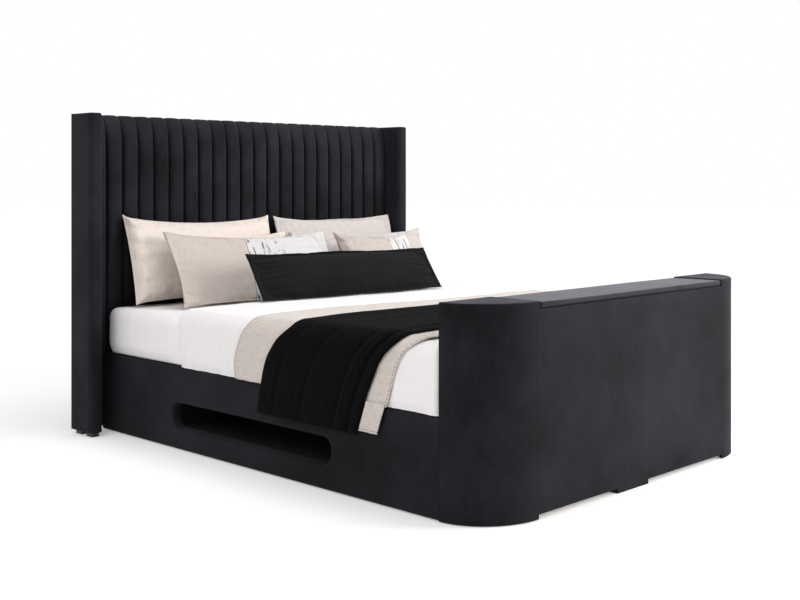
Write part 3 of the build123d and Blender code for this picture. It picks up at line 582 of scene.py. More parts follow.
def drape(piece, thickness, offset):
    """Gives a sheet its thickness."""
    wall = piece.modifiers.new("thickness", "SOLIDIFY")
    wall.thickness = thickness
    wall.offset = offset


def rounded_point(turn, half_a, half_b, radius, corner=0.5):
    """The point at a share of the way round a rounded rectangle, with the same share on each corner."""
    quarter = min(int(turn * 4), 3)
    part = turn * 4 - quarter
    signs = ((1, 1), (-1, 1), (-1, -1), (1, -1))
    radius = min(radius, half_a, half_b)

    def on_corner(index, angle):
        sign_a, sign_b = signs[index % 4]
        return (
            sign_a * (half_a - radius) + radius * cos(angle),
            sign_b * (half_b - radius) + radius * sin(angle),
        )

    if part <= corner:
        return on_corner(quarter, (quarter + part / corner) * QUARTER_TURN)
    start = on_corner(quarter, (quarter + 1) * QUARTER_TURN)
    stop = on_corner(quarter + 1, (quarter + 1) * QUARTER_TURN)
    share = (part - corner) / (1 - corner)
    return mix(start[0], stop[0], share), mix(start[1], stop[1], share)


def ring_shell(columns, rings, cut, corner=0.5):
    """A closed shell through rounded rings, each (centre, half_a, half_b, radius, to_point)."""
    rows = len(rings) - 1

    def place(across, up):
        centre, half_a, half_b, radius, to_point = rings[round(up * rows)]
        a, b = rounded_point(across, half_a, half_b, radius, corner)
        return to_point(centre, a, b)

    return close_up(laid_grid(columns, rows, place, cut))


def in_plan(centre, a, b):
    """A ring that lies flat: a along X and b along Y."""
    return Vector((centre[0] + a, centre[1] + b, centre[2]))


def upright_ring(centre, a, b):
    """A ring that stands along the bed: a along Y and b along Z."""
    return Vector((centre[0], centre[1] + a, centre[2] + b))


def cushioned_box(low, high, corner_radius, top_radius, bottom_radius, levels):
    """The rings of a soft box: rounded corners in plan, and rounded top and bottom edges."""
    edge_steps = 5
    least_radius = 0.0005
    centre = (low + high) / 2
    half_a = (high.x - low.x) / 2
    half_b = (high.y - low.y) / 2
    least = min(half_a, half_b)
    rings = []

    def add_ring(inset, z):
        radius = max(corner_radius - inset, least_radius)
        rings.append(((centre.x, centre.y, z), half_a - inset, half_b - inset, radius, in_plan))

    add_ring(least * 0.98, low.z)
    for share in steps_to(edge_steps):
        angle = share * QUARTER_TURN
        add_ring(bottom_radius * (1 - sin(angle)), low.z + bottom_radius * (1 - cos(angle)))
    for level in range(1, levels):
        add_ring(0, mix(low.z + bottom_radius, high.z - top_radius, level / levels))
    for share in steps_to(edge_steps):
        angle = share * QUARTER_TURN
        add_ring(top_radius * (1 - cos(angle)), high.z - top_radius * (1 - sin(angle)))
    for share in (0.3, 0.6, 0.85, 0.98):
        add_ring(mix(top_radius, least, share), high.z)
    return rings


# Headboard

def channel_height(share, crown, seam):
    """How far a channel stands out at a share of its width."""
    return seam + (crown - seam) * max(1 - abs(2 * share - 1) ** 3.2, 0) ** 0.5


class BED_OT_headboard(bpy.types.Operator):
    """Pads the headboard with upright channels and upholsters its wings"""

    bl_idname = "bed.headboard"
    bl_label = "Headboard"

    def execute(self, context):
        upholstery = context.scene.bed.upholstery
        cloth = velvet("Charcoal velvet", upholstery.velvet, upholstery.velvet_light)
        # The channels' velvet takes painted shade in its seams.
        channel_cloth = velvet(
            "Channel velvet", upholstery.velvet, upholstery.velvet_light, patches=3.2, seam="drawn",
        )
        self.channels(upholstery, channel_cloth)
        for side in ("left", "right"):
            self.wing(upholstery, cloth, side)
        self.lower_pads(cloth)
        return {"FINISHED"}

    def channels(self, upholstery, cloth):
        """Upright channels that roll over the top of the board."""
        columns_each = 12
        front_rows = 56
        bend_rows = 22
        overfill = 0.001
        ripple = 0.0012
        fine_ripple = 0.0007
        rolled_crown = 0.86
        roll_lead = 1.15
        tuck_rise = 0.004
        painted_shade_reach = 0.011
        hidden_cut = 0.15
        low, high = corners("headboard_channel_pad")
        board_low, board_high = corners("headboard_board")
        count = upholstery.channels
        crown = board_low.y - low.y + overfill
        seam = upholstery.seam_height
        bend_z = high.z - upholstery.channel_roll
        board_depth = high.y - board_low.y
        board_rise = board_high.z - bend_z
        width = high.x - low.x
        pitch = width / count
        rise = bend_z - low.z
        stations = [("tuck", 0.0), ("tuck", 0.5)]
        stations += [("front", share) for share in steps_to(front_rows)]
        stations += [("bend", share) for share in steps_to(bend_rows, 1)]
        stations += [("back", 0.0), ("back", 0.5), ("back", 1.0)]

        def place(across, up):
            kind, share = stations[round(up * (len(stations) - 1))]
            index = min(floor(across * count), count - 1)
            part = 0.5 - 0.5 * cos(pi * (across * count - index))
            x = low.x + (index + part) * pitch
            lean = wave(index * 3.1, share * 2, 0) * ripple
            rolled = {"tuck": 0, "front": 0, "bend": share}.get(kind, 1)
            valley = mix(seam, crown * rolled_crown, ease(rolled * roll_lead))
            height = channel_height(part, crown, valley)
            height += ripple * wave(x * 30, index * 7.7, share * 14) * (1 - part) * part * 4
            height += fine_ripple * wave(x * 90, 3.3, share * 34)
            if kind == "tuck":
                return Vector((x, board_low.y - height * share, low.z + tuck_rise * share * (1 - share)))
            if kind == "front":
                return Vector((x + lean, board_low.y - height, low.z + rise * share))
            if kind == "bend":
                angle = share * QUARTER_TURN
                return Vector((
                    x + lean, high.y - (board_depth + height) * cos(angle),
                    bend_z + (board_rise + height) * sin(angle),
                ))
            if share == 0:
                return Vector((x, high.y, board_high.z))
            if share == 1:
                return Vector((x, board_low.y, low.z))
            return Vector((x, board_low.y + 0.5 * board_depth, board_high.z - 0.5 * board_depth))

        cut = (width, rise + hidden_cut)
        grid = close_up(laid_grid(count * columns_each, len(stations) - 1, place, cut))
        # drawn is painted shade in the seams between the channels, with some real darkening of the pile
        # drawn into them; it fades where the channels roll over.
        drawn = grid.verts.layers.float.new("drawn")
        for vert in grid.verts:
            part = (vert.co.x - low.x) / pitch
            away = abs(part - round(part)) * pitch
            rolled = ease((vert.co.z - bend_z) / (high.z - bend_z))
            vert[drawn] = (1 - ease(away / painted_shade_reach)) * (1 - 0.8 * rolled)
        upholster("channel_upholstery", grid, cloth, "headboard_channel_pad", sharp=70.0, fill=0.8)

    def wing(self, upholstery, cloth, side):
        """A wing in velvet, rounded in front and square at the back."""
        ripple = 0.0012
        low, high = corners(side + "_wing_pad")
        radius = upholstery.wing_round
        beyond = Vector((0, radius, 0))
        rings = cushioned_box(
            low, high + beyond, corner_radius=radius, top_radius=0.010, bottom_radius=0.003, levels=60,
        )
        grid = ring_shell(120, rings, cut=(0.46, 1.4))
        for vert in grid.verts:
            point = vert.co
            inward = Vector((low.x + high.x - 2 * point.x, 0, 0)).normalized()
            point += inward * ripple * wave(point.x * 20, point.y * 9, point.z * 3)
            point.y = min(point.y, high.y)
        bmesh.ops.dissolve_degenerate(grid, dist=0.00002, edges=grid.edges)
        upholster(side + "_wing_upholstery", grid, cloth, side + "_wing_pad", sharp=50.0)

    def lower_pads(self, cloth):
        """The two padded strips beside the rails, under the channels."""
        low, high = corners("headboard_lower_pad")
        rail_high = corners("right_rail_pad")[1]
        for side, x0, x1 in (("left", low.x, -rail_high.x), ("right", rail_high.x, high.x)):
            start, stop = Vector((x0, low.y, low.z)), Vector((x1, high.y, high.z))
            rings = cushioned_box(
                start, stop, corner_radius=0.004, top_radius=0.004, bottom_radius=0.003, levels=4,
            )
            grid = ring_shell(48, rings, cut=(0.2, 0.35))
            upholster(side + "_lower_strip", grid, cloth, "headboard_lower_pad")


# Rails

def frame_opening(name):
    """The box of an opening that the record states."""
    for opening in frame["record"]["physics"]["openings"]:
        if opening["name"] == name:
            return opening["box_m"]
    raise RuntimeError("no opening named " + name)


class BED_OT_rails(bpy.types.Operator):
    """Upholsters the rails and cuts the media slot into the left one"""

    bl_idname = "bed.rails"
    bl_label = "Rails"

    def execute(self, context):
        upholstery = context.scene.bed.upholstery
        cloth = velvet("Rail velvet", upholstery.velvet, upholstery.velvet_light, patches=1.6)
        self.left_rail(upholstery, cloth)
        self.right_rail(cloth)
        return {"FINISHED"}

    def right_rail(self, cloth):
        """The plain rail."""
        low, high = corners("right_rail_pad")
        rings = cushioned_box(
            low, high, corner_radius=0.003, top_radius=0.011, bottom_radius=0.003, levels=10,
        )
        grid = ring_shell(160, rings, cut=(4.2, 0.5), corner=0.12)
        upholster("right_rail_upholstery", grid, cloth, "right_rail_pad")

    def left_rail(self, upholstery, cloth):
        """The rail with the slot: a shell that runs out of the slot, round the rail and back."""
        edge = 0.011
        edge_steps = 6
        lip_steps = 9
        corner_radius = 0.004
        slot_slack = 0.0015
        low, high = corners("left_rail_pad")
        slot_low, slot_high = frame_opening("media_slot")
        radius = upholstery.slot_round
        lip = upholstery.slot_lip
        slot_z0 = corners("media_floor")[1].z
        slot_z1 = slot_low[2] + slot_high[2] - slot_z0
        slot_half_z = (slot_z1 - slot_z0) / 2
        slot_z = (slot_z0 + slot_z1) / 2
        slot_y = (slot_low[1] + slot_high[1]) / 2
        slot_half_y = (slot_high[1] - slot_low[1]) / 2 + radius + slot_slack
        middle_y = (low.y + high.y) / 2
        middle_z = (low.z + high.z) / 2
        half_y = (high.y - low.y) / 2
        half_z = (high.z - low.z) / 2
        rings = []

        def add_ring(x, y, z, half_along, half_up, round_by):
            rings.append(((x, y, z), half_along, half_up, round_by, upright_ring))

        def outer(x, inset):
            add_ring(x, middle_y, middle_z, half_y - inset * 0.2, half_z - inset, corner_radius)

        def slot(x, grow):
            add_ring(x, slot_y, slot_z, slot_half_y + grow, slot_half_z + grow, radius + grow)

        slot(high.x, 0)
        outer(high.x, 0)
        for share in (0.25, 0.5, 0.75):
            outer(mix(high.x, low.x + edge, share), 0)
        for share in steps_to(edge_steps):
            angle = share * QUARTER_TURN
            outer(low.x + edge * (1 - sin(angle)), edge * (1 - cos(angle)))
        for share in (0.35, 0.7, 0.97):
            add_ring(
                low.x, mix(middle_y, slot_y, share), mix(middle_z, slot_z, share),
                mix(half_y, slot_half_y + lip, share), mix(half_z - edge, slot_half_z + lip, share),
                mix(corner_radius, radius + lip, share),
            )
        for share in steps_to(lip_steps):
            angle = share * QUARTER_TURN
            slot(low.x + lip * (1 - cos(angle)), lip * (1 - sin(angle)))
        for share in (0.5, 1.0):
            slot(mix(low.x + lip, high.x, share), 0)
        grid = ring_shell(200, rings, cut=(4.2, 0.6), corner=0.30)
        upholster("left_rail_upholstery", grid, cloth, "left_rail_pad")


# Footboard

class BED_OT_footboard(bpy.types.Operator):
    """Upholsters the rounded footboard, its inner face and its lid"""

    bl_idname = "bed.footboard"
    bl_label = "Footboard"

    def execute(self, context):
        upholstery = context.scene.bed.upholstery
        # This velvet takes painted shade at the lid's seam and a painted highlight on the caps' tops.
        cloth = velvet(
            "Footboard velvet", upholstery.velvet, upholstery.velvet_light, patches=2.6,
            seam="drawn", flat="level",
        )
        # A lighter copy of the velvet: painted light on the lid's top, which is seen at a grazing angle.
        painted_light_lid_cloth = velvet(
            "Lid velvet painted lighter", toned(upholstery.velvet, 1.8), toned(upholstery.velvet_light, 2.1),
            patches=5.0, sheen=0.30,
        )
        self.outer_cover(upholstery, cloth)
        self.inner_cover(cloth)
        self.lid(painted_light_lid_cloth)
        self.foot(cloth)
        return {"FINISHED"}

    def outer_cover(self, upholstery, cloth):
        """One cover round the front and both rounded ends, over the caps and round the lid's gap."""
        lid_gap = 0.008
        x_raised = 0.600
        step_inside = 0.001
        step_outside = 0.002
        edge = 0.007
        chamfer = 0.005
        rim_round = 0.006
        turn_in = 0.004
        swell = 0.0010
        least_painted_light, most_painted_light = 0.25, 0.8
        painted_light_band = 0.003
        painted_shade_band = 0.001
        end_columns = 26
        wall_columns = 24
        face_rows, edge_rows, top_rows, rim_rows = 26, 6, 6, 4
        near = 0.0005
        low, high = corners("footboard_outer_pad")
        cap_low, cap_high = corners("end_caps")
        x_gap = corners("lid_pad")[1].x + lid_gap
        z_raised = corners("footboard_floor")[0].z
        z_wall = corners("lid_hinge_fixed_leaf")[0].z
        depth = high.y - low.y
        length = upholstery.end_length
        x_corner = high.x - length

        def outline(kind, value):
            """A point of the plan and its outward direction."""
            if kind == "flat":
                return Vector((value, low.y)), Vector((0, -1))
            side = -1 if kind == "left" else 1
            angle = value * QUARTER_TURN
            point = Vector((side * (x_corner + length * sin(angle)), high.y - depth * cos(angle)))
            out = Vector((side * sin(angle) / length, -cos(angle) / depth)).normalized()
            return point, out

        columns = [("left", 1 - step / end_columns, "cap") for step in range(end_columns)]
        columns += [("flat", -x_corner, "cap"), ("flat", -x_raised - step_outside, "cap")]
        columns += [("flat", -x_raised + step_inside, "raised"), ("flat", -x_gap, "raised")]
        columns += [("flat", -x_gap, "face")]
        columns += [("flat", mix(-x_gap, x_gap, share), "wall") for share in steps_to(wall_columns)]
        columns += [("flat", x_gap, "face")]
        columns += [("flat", x_gap, "raised"), ("flat", x_raised - step_inside, "raised")]
        columns += [("flat", x_raised + step_outside, "cap"), ("flat", x_corner, "cap")]
        columns += [("right", share, "cap") for share in steps_to(end_columns, 1)]

        rows = ["under"]
        rows += [("face", share) for share in steps_to(face_rows)]
        for name, count in (("edge", edge_rows), ("top", top_rows), ("rim", rim_rows)):
            rows += [(name, share) for share in steps_to(count, 1)]
        rows += ["back", "inside", "under"]

        def place(across, up):
            kind, value, zone = columns[round(across * (len(columns) - 1))]
            row = rows[round(up * (len(rows) - 1))]
            point, out = outline(kind, value)
            z_low = low.z if zone == "cap" else z_raised
            z_top = {"wall": z_wall, "face": cap_low.z}.get(zone, cap_high.z)
            inner = point - out * upholstery.foam
            radius = chamfer if zone == "wall" else edge
            tuck = point - out * radius
            y_far = max(inner.y if zone == "wall" else high.y, tuck.y)
            rim = min(rim_round, y_far - tuck.y)
            if row == "under":
                return Vector((inner.x, inner.y, z_low))
            if row == "inside":
                return Vector((inner.x, inner.y, min(z_top, cap_low.z) - turn_in))
            if row == "back":
                return Vector((tuck.x, y_far, min(z_top, cap_low.z)))
            name, share = row
            angle = share * QUARTER_TURN
            if name == "face":
                z = mix(z_low, z_top - radius, share)
                spot = point + out * swell * wave(point.x * 5, point.y * 5, z * 6)
                return Vector((spot.x, spot.y, z))
            if name == "edge" and zone == "wall":
                spot = point - out * chamfer * share
                return Vector((spot.x, spot.y, z_top - chamfer * (1 - share)))
            if name == "edge":
                spot = point - out * radius * (1 - cos(angle))
                return Vector((spot.x, spot.y, z_top - radius * (1 - sin(angle))))
            if name == "top":
                return Vector((tuck.x, mix(tuck.y, y_far - rim, share), z_top))
            return Vector((tuck.x, y_far - rim * (1 - sin(angle)), z_top - rim * (1 - cos(angle))))

        grid = laid_grid(len(columns) - 1, len(rows) - 1, place, cut=(2.2, 1.1))
        close_up(grid, 0.00005)
        # level is a painted highlight on the top faces of the caps, laid in brushed patches.
        level = grid.verts.layers.float.new("level")
        # drawn is painted shade on the chamfer along the lid's seam.
        drawn = grid.verts.layers.float.new("drawn")
        for vert in grid.verts:
            x, y, z = vert.co
            brushed = ease(0.6 + wave(x * 9, y * 14, 0.3))
            vert[level] = mix(least_painted_light, most_painted_light, brushed) * ease((z - cap_high.z) / painted_light_band + 1)
            at_lid = abs(x) < x_gap + near and z < z_wall + near
            vert[drawn] = ease((z - z_wall + chamfer) / painted_shade_band) if at_lid else 0.0
        upholster("footboard_upholstery", grid, cloth, "footboard_outer_pad", "end_caps", sharp=50.0)

    def inner_cover(self, cloth):
        """The padded inner face, towards the mattress."""
        end_gap = 0.003
        swell = 0.0012
        low, high = corners("footboard_inner_pad")
        outer_low, outer_high = corners("footboard_outer_pad")
        start = Vector((outer_low.x + end_gap, low.y, low.z))
        stop = Vector((outer_high.x - end_gap, high.y + swell, high.z))
        rings = cushioned_box(
            start, stop, corner_radius=0.002, top_radius=0.003, bottom_radius=0.002, levels=10,
        )
        grid = ring_shell(120, rings, cut=(3.4, 0.7), corner=0.1)
        upholster("footboard_inner_upholstery", grid, cloth, "footboard_inner_pad")

    def lid(self, cloth):
        """The padded lid over the television bay."""
        ripple = 0.0008
        top_skin = 0.001
        low, high = corners("lid_pad")
        rings = cushioned_box(
            low, high, corner_radius=0.004, top_radius=0.003, bottom_radius=0.001, levels=4,
        )
        grid = ring_shell(200, rings, cut=(2.6, 0.3), corner=0.08)
        for vert in grid.verts:
            if vert.co.z > high.z - top_skin:
                vert.co.z += ripple * wave(vert.co.x * 4, vert.co.y * 9, 0.5)
        finish_piece(
            "lid_upholstery", grid, cloth, body=LID, nodes=("lid_pad",), slot="lid_velvet",
        )

    def foot(self, cloth):
        """The covered block under the footboard's front."""
        low, high = corners("footboard_centre_foot")
        rings = cushioned_box(
            low, high, corner_radius=0.004, top_radius=0.001, bottom_radius=0.002, levels=3,
        )
        finish_piece(
            "centre_foot_cover", ring_shell(64, rings, cut=(0.6, 0.05)), cloth,
            nodes=("footboard_centre_foot",), slot="black_plastic",
        )


# Bedding

# Radius of the duvet's bend over the long edges of the mattress
DUVET_BEND = 0.060


def arch_point(length, half, top, radius, hem):
    """The point and outward direction at a length along an arch over the bed, from its left hem."""
    side = top - radius - hem
    bend = radius * QUARTER_TURN
    across = 2 * (half - radius)
    if length <= side:
        return -half, hem + length, -1.0, 0.0
    length -= side
    if length <= bend:
        angle = length / radius
        x, z = -half + radius - radius * cos(angle), top - radius + radius * sin(angle)
        return x, z, -cos(angle), sin(angle)
    length -= bend
    if length <= across:
        return -half + radius + length, top, 0.0, 1.0
    length -= across
    if length <= bend:
        angle = length / radius
        x, z = half - radius + radius * sin(angle), top - radius + radius * cos(angle)
        return x, z, sin(angle), cos(angle)
    return half, top - radius - (length - bend), 1.0, 0.0


def arch_length(half, top, radius, hem):
    """The whole length of an arch, from hem to hem."""
    return 2 * (top - radius - hem) + radius * pi + 2 * (half - radius)


class BED_OT_mattress(bpy.types.Operator):
    """Covers the mattress with its fitted sheet"""

    bl_idname = "bed.mattress"
    bl_label = "Mattress"

    def execute(self, context):
        neck_half = 0.8
        neck_rise = 0.002
        neck_round = 0.012
        foot_round = 0.004
        corner_round = 0.030
        edge_round = 0.046
        crown = 0.003
        side_band = 0.05
        pull_depth = 0.0035
        fine_pull_depth = 0.0020
        bulge_y, bulge_run = 0.545, 0.06
        bedding = context.scene.bed.bedding
        low, high = corners("mattress")
        neck = neck_half - high.x
        z_neck = corners("right_rail_pad")[1].z + neck_rise
        z_edge = high.z - crown
        centre = (low + high) / 2
        half_a = (high.x - low.x) / 2
        half_b = (high.y - low.y) / 2
        rings = []

        def add_ring(inset, z, inset_y=None):
            inset_y = inset if inset_y is None else inset_y
            radius = max(corner_round - inset, foot_round)
            rings.append(((centre.x, centre.y, z), half_a - inset, half_b - inset_y, radius, in_plan))

        add_ring(half_a * 0.98, low.z)
        add_ring(-neck + foot_round, low.z, foot_round)
        add_ring(-neck, low.z + foot_round, 0)
        add_ring(-neck, z_neck, 0)
        for share in steps_to(5, 1):
            angle = share * QUARTER_TURN
            add_ring(-neck * (1 - sin(angle)), z_neck + neck_round * (1 - cos(angle)), 0)
        for share in steps_to(12, 1):
            add_ring(0, mix(z_neck + neck_round, z_edge - edge_round, share))
        for share in steps_to(8, 1):
            angle = share * QUARTER_TURN
            add_ring(edge_round * (1 - cos(angle)), z_edge - edge_round * (1 - sin(angle)))
        for share in (0.04, 0.08, 0.12, 0.16, 0.2, 0.28, 0.36, 0.5, 0.7, 0.9, 0.98):
            add_ring(mix(edge_round, half_a, share), mix(z_edge, high.z, ease(share)))
        grid = ring_shell(640, rings, cut=(7.2, 1.5), corner=0.07)
        for vert in grid.verts:
            point = vert.co
            if point.z < z_neck:
                continue
            fade = ease((point.z - z_neck) / side_band)
            pull = pull_depth * wave(point.y * 7, point.x * 7, point.z * 5)
            pull += fine_pull_depth * wave(point.y * 21 + point.z * 9, point.x * 16, point.z * 8)
            at_side = abs(point.x) > half_a - side_band
            side = Vector((point.x, 0, 0)).normalized() if at_side else Vector((0, 0, 1))
            point -= side * abs(pull) * fade
            if at_side:
                point += side * bedding.sheet_bulge * fade * ease((point.y - bulge_y) / bulge_run)
        finish_piece(
            "fitted_sheet", grid, cotton("Fitted sheet", bedding.cotton), nodes=("mattress",),
            slot="white_cotton", sharp=60,
        )
        return {"FINISHED"}


class BED_OT_duvet(bpy.types.Operator):
    """Lays the duvet over the mattress"""

    bl_idname = "bed.duvet"
    bl_label = "Duvet"

    def execute(self, context):
        outer_columns = 260
        inner_columns = 60
        rows = 150
        clearance = 0.0006
        tuck_height = 0.03
        end_pinch = 0.8
        hem_pinch = 0.35
        bedding = context.scene.bed.bedding
        low, high = corners("duvet")
        half = high.x
        top = high.z
        hem = low.z
        radius = DUVET_BEND
        thick = half - corners("mattress")[1].x - clearance
        length = arch_length(half, top, radius, hem)
        inner_length = arch_length(half - thick, top - thick, radius - thick, hem)
        spans = [("out", share) for share in steps_to(outer_columns)]
        spans += [("in", 1 - column / inner_columns) for column in range(1, inner_columns)]
        spans.append(("out", 0.0))

        def place(across, up):
            kind, share = spans[round(across * (len(spans) - 1))]
            y = mix(low.y, high.y, up)
            edge = min(y - low.y, high.y - y) / bedding.hem_roll
            edge = sqrt(max(1 - (1 - min(edge, 1)) ** 2, 0))
            if kind == "in":
                x, z, out_x, out_z = arch_point(
                    share * inner_length, half - thick, top - thick, radius - thick, hem,
                )
                swell = 0.0
            else:
                x, z, out_x, out_z = arch_point(share * length, half, top, radius, hem)
                tuck = ease((z - hem) / tuck_height) if abs(x) > half - radius else 1
                swell = self.creases(bedding.crumple, x, y, z, half)
                swell -= (1 - edge) * thick * end_pinch + (1 - tuck) * thick * hem_pinch
            return Vector((x + out_x * swell, y, z + out_z * swell))

        grid = close_up(laid_grid(len(spans) - 1, rows, place, (2 * length, high.y - low.y)))
        finish_piece(
            "duvet_cover", grid, cotton("Duvet cover", bedding.cotton), nodes=("duvet",),
            slot="white_cotton", sharp=70,
        )
        return {"FINISHED"}

    def creases(self, depth, x, y, z, half):
        """Soft creases: long and low on top, upright where the duvet hangs."""
        hangs = ease((abs(x) - half + 0.09) / 0.08)
        soft = wave(x * 3.1, y * 3.6, 1.7) * 0.5 + wave(x * 8, y * 6, 4.1) * 0.3
        drawn = wave(y * 13 + z * 3.0, 2.2, z * 3) * 0.75 + wave(y * 34 + z * 6, 5.2, z * 5) * 0.42
        drawn += wave(y * 70 + z * 9, 8.8, z * 7) * 0.16
        return depth * (mix(soft, drawn, hangs) - 0.62)


# Bedspread: its head edge over the bed as (place across, place along), and the run of its two side
# edges where it hangs, as (share of the drop, place along)
SPREAD_HEAD_TOP = (
    (-0.79, 0.050), (-0.60, 0.076), (-0.40, 0.068), (-0.14, 0.030), (0.13, -0.020), (0.79, -0.045),
)
SPREAD_HEAD_DROP = (
    (0.0, 0.050), (0.13, 0.068), (0.32, 0.104), (0.5, 0.127), (0.69, 0.142), (0.87, 0.142), (1.0, 0.130),
)
SPREAD_FOOT_DROP = ((0.0, -0.846), (0.175, -0.792), (0.42, -0.751), (0.62, -0.731), (1.0, -0.697))
SPREAD_THICKNESS = 0.0035


class BED_OT_bedspread(bpy.types.Operator):
    """Drapes the linen bedspread, with its stitched hems"""

    bl_idname = "bed.bedspread"
    bl_label = "Bedspread"

    def execute(self, context):
        low, high = corners("bedspread")
        duvet_low, duvet_high = corners("duvet")
        half = -low.x
        top = high.z
        radius = DUVET_BEND + half - duvet_high.x
        rail_top = duvet_low.z
        length = arch_length(half, top, radius, rail_top)
        width = SPREAD_HEAD_TOP[0][1] - SPREAD_FOOT_DROP[0][1]

        def place(across, up):
            x, z, out_x, out_z = arch_point(across * length, half, top, radius, rail_top)
            foot, head = SPREAD_FOOT_DROP[0][1], along(SPREAD_HEAD_TOP, x)
            if z < top and x < 0:
                drop = (top - z) / (top - rail_top)
                foot, head = along(SPREAD_FOOT_DROP, drop), along(SPREAD_HEAD_DROP, drop)
            y = mix(foot, head, up)
            hang = ease((abs(x) - half + 0.07) / 0.06)
            fold = 0.0030 * wave(y * 18 + z * 14, 7.7, z * 4) * hang
            fold += 0.0012 * wave(y * 45, 3.1, z * 40) * hang
            fold += 0.0016 * wave(x * 9, y * 11, 2.4) + 0.0009 * wave(x * 40, y * 26, 6.4)
            return Vector((x + out_x * fold, y, z + out_z * fold))

        grid = laid_grid(300, 130, place, (length, width))
        material = self.cloth(context.scene.bed.bedding, width)
        piece = finish_piece(
            "linen_bedspread", grid, material, nodes=("bedspread",), slot="linen", sharp=70,
        )
        drape(piece, SPREAD_THICKNESS, -1)
        self.corner(material, half, rail_top, low.z)
        return {"FINISHED"}

    def corner(self, material, half, rail_top, hem):
        """The corner of the bedspread that hangs on down over the rail."""
        y_hem = -0.656
        width = 0.091
        lap = 0.012
        off_rail = 0.0015
        y_rail = SPREAD_FOOT_DROP[-1][1]
        height = rail_top + lap - hem

        def place(across, up):
            z = mix(hem, rail_top + lap, up)
            y = mix(y_hem, y_rail, up) + width * across
            fold = 0.002 * sin(across * 7 + up * 1.5) + 0.0012 * wave(y * 30, z * 8, 1.1)
            return Vector((-half - off_rail - fold, y, z))

        grid = laid_grid(24, 24, place, (width, height))
        piece = finish_piece("bedspread_corner", grid, material, slot="linen", sharp=70)
        drape(piece, SPREAD_THICKNESS, 0)

    def cloth(self, bedding, width):
        """Linen with a dark row of stitches along each edge."""
        hem = 0.008
        material = linen("Bedspread linen", bedding.linen, sheen=0.5, creases=42.0, depth=0.022)
        tree = material.node_tree
        rows = placed_group(tree, build_stitches, Near=hem, Far=width - hem)
        overlay(tree, tree.nodes["Principled BSDF"], rows["Stitch"], (0.17, 0.14, 0.12))
        return material


# Throw: its edges over the bed as (place across, place along) and where it hangs as (share of the drop,
# place along); its folds as (where it starts, width, height), all as shares
THROW_HEAD_TOP = ((-0.78, -0.192), (-0.56, -0.172), (-0.05, -0.203), (0.60, -0.215))
THROW_FOOT_TOP = ((-0.78, -0.764), (-0.63, -0.746), (0.0, -0.742), (0.60, -0.742))
THROW_HEAD_DROP = ((0.0, -0.192), (0.075, -0.176), (0.22, -0.114), (0.455, -0.055), (1.0, -0.006))
THROW_FOOT_DROP = (
    (0.0, -0.764), (0.09, -0.735), (0.24, -0.681), (0.41, -0.647), (0.68, -0.599), (1.0, -0.560),
)
THROW_FOLDS = (
    (0.0, 0.09, 0.75), (0.09, 0.13, 1.0), (0.22, 0.33, 0.60), (0.55, 0.28, 0.5), (0.83, 0.17, 0.45),
)


def fold_height(share):
    """How high the folds stand at a share of the throw's width."""
    for start, width, height in THROW_FOLDS:
        if share <= start + width:
            part = max((share - start) / width, 0)
            return height * (1 - abs(2 * part - 1) ** 4)
    return 0.0


class BED_OT_throw(bpy.types.Operator):
    """Lays the folded black throw across the bed"""

    bl_idname = "bed.throw"
    bl_label = "Throw"

    def execute(self, context):
        clearance = 0.0006
        bend = 0.070
        base = 0.0035
        fold_rise = 0.0095
        thickness = 0.003
        cut_width = 0.56
        low, high = corners("throw")
        spread_low, spread_high = corners("bedspread")
        half = -spread_low.x + clearance
        top = spread_high.z + clearance
        hem = low.z
        length = top - bend - hem + bend * QUARTER_TURN + high.x + half - bend

        def place(across, up):
            x, z, out_x, out_z = arch_point(across * length, half, top, bend, hem)
            foot, head = along(THROW_FOOT_TOP, x), along(THROW_HEAD_TOP, x)
            if z < top:
                drop = (top - z) / (top - hem)
                foot, head = along(THROW_FOOT_DROP, drop), along(THROW_HEAD_DROP, drop)
            wander = 0.035 * wave(x * 1.3, 4.4, z * 2.2) * up * (1 - up) * 4
            y = mix(foot, head, up) + 0.003 * wave(x * 6, up * 3, z * 6)
            lift = base + fold_rise * fold_height(up + wander)
            lift += 0.0011 * wave(x * 5, up * 40, z * 5) + 0.0009 * wave(x * 22, up * 90, z * 22)
            return Vector((x + out_x * lift, y, z + out_z * lift))

        grid = laid_grid(240, 200, place, (length, cut_width))
        material = wool("Black wool", context.scene.bed.bedding.wool)
        piece = finish_piece("wool_throw", grid, material, nodes=("throw",), slot="black_knit", sharp=70)
        drape(piece, thickness, 0)
        return {"FINISHED"}


# Pillows: node, width, height, thickness, middle of the lower edge (x, y), lean and turn in degrees,
# how much higher the left end stands, and cloth
PILLOWS = (
    ("pillow_back_left", 0.870, 0.425, 0.120, -0.356, 0.954, 16, 0, 0.008, "beige"),
    ("pillow_back_right", 0.830, 0.402, 0.120, 0.497, 0.952, 16, 0, 0.004, "cream"),
    ("pillow_mid_left", 0.640, 0.338, 0.050, -0.236, 0.832, 21, 0, -0.006, "beige"),
    ("pillow_mid_right", 0.850, 0.360, 0.060, 0.517, 0.763, 30, -9, 0, "cream"),
    ("cushion_left", 0.900, 0.392, 0.092, -0.238, 0.674, 33, -5.5, 0.016, "print_left"),
    ("cushion_right", 0.520, 0.362, 0.092, 0.517, 0.610, 34, 0, 0.014, "print_right"),
    ("bolster", 1.080, 0.245, 0.118, 0.075, 0.420, 35, -3.8, 0.006, "velvet"),
)
# Frames over which the air swells a pillow
AIR_FRAMES = 20


